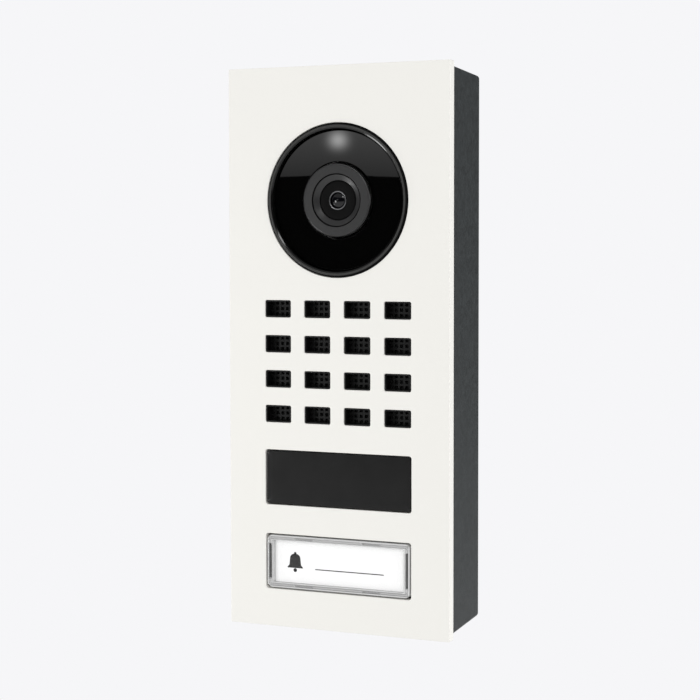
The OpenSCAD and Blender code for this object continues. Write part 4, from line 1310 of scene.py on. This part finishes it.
class DOORSTATION_OT_stage(bpy.types.Operator):
    """Makes the floor, the soft studio light and the camera"""

    bl_idname = "door_station.stage"
    bl_label = "Stage"

    def execute(self, context):
        scene = context.scene
        view = studio()
        scene.view_settings.view_transform = "Standard"
        self.floor()
        self.surroundings(scene)
        self.softbox("softbox_front_left", Vector((-0.95, -1.05, -0.15)), 0.35, view.front_power)
        self.softbox("softbox_top_right", Vector((0.35, -0.6, 0.5)), 0.15, view.top_power)
        self.softbox("softbox_low_left", Vector((-0.51, -0.12, -0.26)), 0.15, view.low_power)
        self.softbox("softbox_right", Vector((1.3, -0.05, 0.1)), 0.6, view.fill_power)
        self.softbox("softbox_side", Vector((0.3, -0.02, -0.2)), 0.16, view.side_power)
        self.camera(scene)
        return {"FINISHED"}

    def floor(self):
        """Pale floor, seen in the same even colour as the backdrop."""
        bm = bmesh.new()
        bmesh.ops.create_grid(bm, x_segments=1, y_segments=1, size=6)
        floor = shape("floor", bm)
        floor.location.z = CAD_BOX[0].z - studio().floor_drop
        paint = Finish("floor_paint", roughness=0.9)
        paint.set("Base Color", paint.blend(paint.noise(0.02, 2), (0.8, 0.8, 0.8), (0.82, 0.82, 0.82)))
        path = paint.node("ShaderNodeLightPath", {}, {})
        glow = paint.node("ShaderNodeEmission", {}, {"Color": tuple(colours().backdrop), "Strength": 1.0})
        mixed = paint.node("ShaderNodeMixShader", {}, {
            0: Wire(paint, path.socket.node.outputs["Is Camera Ray"]),
            1: Wire(paint, paint.shader.outputs[0]), 2: glow})
        surface = next(n for n in paint.tree.nodes if n.type == "OUTPUT_MATERIAL")
        paint.tree.links.new(mixed.socket, surface.inputs[0])
        floor.data.materials.append(paint.material)

    def surroundings(self, scene):
        """Even light all round, seen as the pale backdrop, and the dim wall and lamp that gloss reflects."""
        world = bpy.data.worlds.new("studio")
        world.use_nodes = True
        scene.world = world
        board = Board(world.node_tree)
        direction = board.node("ShaderNodeTexCoord", {}, {}, "Generated")
        x, y, z = board.split(direction)
        height = z.function("ARCSINE") * (180 / math.pi)
        heading = (0 - x).maths("ARCTAN2", 0 - x, 0 - y) * (180 / math.pi)
        wall_low, wall_high = math.degrees(studio().wall_edge), 9
        wall_right, wall_left = 15, 32
        glow = (0.56 + (height - wall_low) * 0.42).least(1.4)
        for inside in (height > wall_low, height < wall_high, heading > wall_right, heading < wall_left):
            glow = glow * inside
        lamp = board.node("ShaderNodeVectorMath", {"operation": "DOT_PRODUCT"}, {
            0: direction, 1: self.toward(studio().lamp_heading, studio().lamp_height)}, "Value")
        lamp_spread, lamp_glow = 0.3, 7
        spread = lamp.least(1.0).function("ARCCOSINE") * (180 / math.pi) / lamp_spread
        glow = glow + (0 - spread ** 2).function("EXPONENT") * lamp_glow * (height > wall_low) + 0.004
        ceiling, ground, behind = (height > 25) * 0.35, (height < -20) * 0.25, (y > 0) * 0.08
        glow = glow + ceiling + ground + behind
        path = board.node("ShaderNodeLightPath", {}, {})
        glossy = Wire(board, path.socket.node.outputs["Is Glossy Ray"])
        light = glossy * glow + (1 - glossy) * studio().ambient
        even = board.node("ShaderNodeBackground", {}, {"Color": (1, 1, 1), "Strength": light})
        seen = board.node("ShaderNodeBackground", {}, {"Color": tuple(colours().backdrop), "Strength": 1.0})
        mixed = board.node("ShaderNodeMixShader", {}, {
            0: Wire(board, path.socket.node.outputs["Is Camera Ray"]), 1: even, 2: seen})
        surface = board.tree.nodes.new("ShaderNodeOutputWorld")
        board.tree.links.new(mixed.socket, surface.inputs[0])

    def toward(self, heading, elevation):
        """Direction to the front, to the left by heading and up by elevation."""
        return (-math.sin(heading) * math.cos(elevation), -math.cos(heading) * math.cos(elevation),
                math.sin(elevation))

    def softbox(self, name, spot, width, power):
        """Square light that faces the door station."""
        light = bpy.data.lights.new(name, "AREA")
        light.shape = "SQUARE"
        light.size = width
        light.energy = power
        box = bpy.data.objects.new(name, light)
        box.location = spot
        box.rotation_mode = "QUATERNION"
        box.rotation_quaternion = (-spot).to_track_quat("-Z", "Y")
        bpy.context.scene.collection.objects.link(box)

    def camera(self, scene):
        """Camera to the right of straight on and a little above, with a long lens."""
        view = studio()
        lens = bpy.data.cameras.new("camera")
        lens.sensor_width = 36
        lens.lens = view.focal_length
        lens.shift_x = view.shift_side
        lens.shift_y = view.shift_up
        lens.clip_start, lens.clip_end = 0.01, 20
        ahead = Vector((
            -math.sin(view.heading) * math.cos(view.pitch), math.cos(view.heading) * math.cos(view.pitch),
            -math.sin(view.pitch)))
        aim = Vector((view.aim_right, FACE_Y, view.aim_up))
        camera = bpy.data.objects.new("camera", lens)
        camera.location = aim - ahead * view.distance
        camera.rotation_mode = "QUATERNION"
        camera.rotation_quaternion = ahead.to_track_quat("-Z", "Y")
        scene.collection.objects.link(camera)
        scene.camera = camera


# ---------------------------------------------------------------- panel, registration and run


OPERATORS = (
    DOORSTATION_OT_stage, DOORSTATION_OT_front_panel, DOORSTATION_OT_housing, DOORSTATION_OT_bezel,
    DOORSTATION_OT_window, DOORSTATION_OT_lens, DOORSTATION_OT_grille, DOORSTATION_OT_sensor_window,
    DOORSTATION_OT_call_button, DOORSTATION_OT_seals, DOORSTATION_OT_fasteners, DOORSTATION_OT_chassis,
    DOORSTATION_OT_sound, DOORSTATION_OT_optics, DOORSTATION_OT_electronics,
)
SETTINGS = (
    ("door_station_sizes", DoorStationSizes), ("door_station_colours", DoorStationColours),
    ("door_station_studio", DoorStationStudio),
)


class DOORSTATION_PT_build(bpy.types.Panel):
    """Lists the steps that build the door station"""

    bl_label = "Door station"
    bl_idname = "DOORSTATION_PT_build"
    bl_space_type = "VIEW_3D"
    bl_region_type = "UI"
    bl_category = "Door station"

    def draw(self, context):
        for operator in OPERATORS:
            self.layout.operator(operator.bl_idname)
        for attribute, group in SETTINGS:
            box = self.layout.box()
            for name in group.__annotations__:
                box.prop(getattr(context.scene, attribute), name)


CLASSES = (*(group for _, group in SETTINGS), *OPERATORS, DOORSTATION_PT_build)


def register():
    for cls in CLASSES:
        bpy.utils.register_class(cls)
    for attribute, group in SETTINGS:
        setattr(bpy.types.Scene, attribute, PointerProperty(type=group))


def unregister():
    for attribute, _ in SETTINGS:
        delattr(bpy.types.Scene, attribute)
    for cls in reversed(CLASSES):
        bpy.utils.unregister_class(cls)


def main():
    register()
    for operator in OPERATORS:
        group, name = operator.bl_idname.split(".")
        getattr(getattr(bpy.ops, group), name)()


if __name__ == "__main__":
    main()
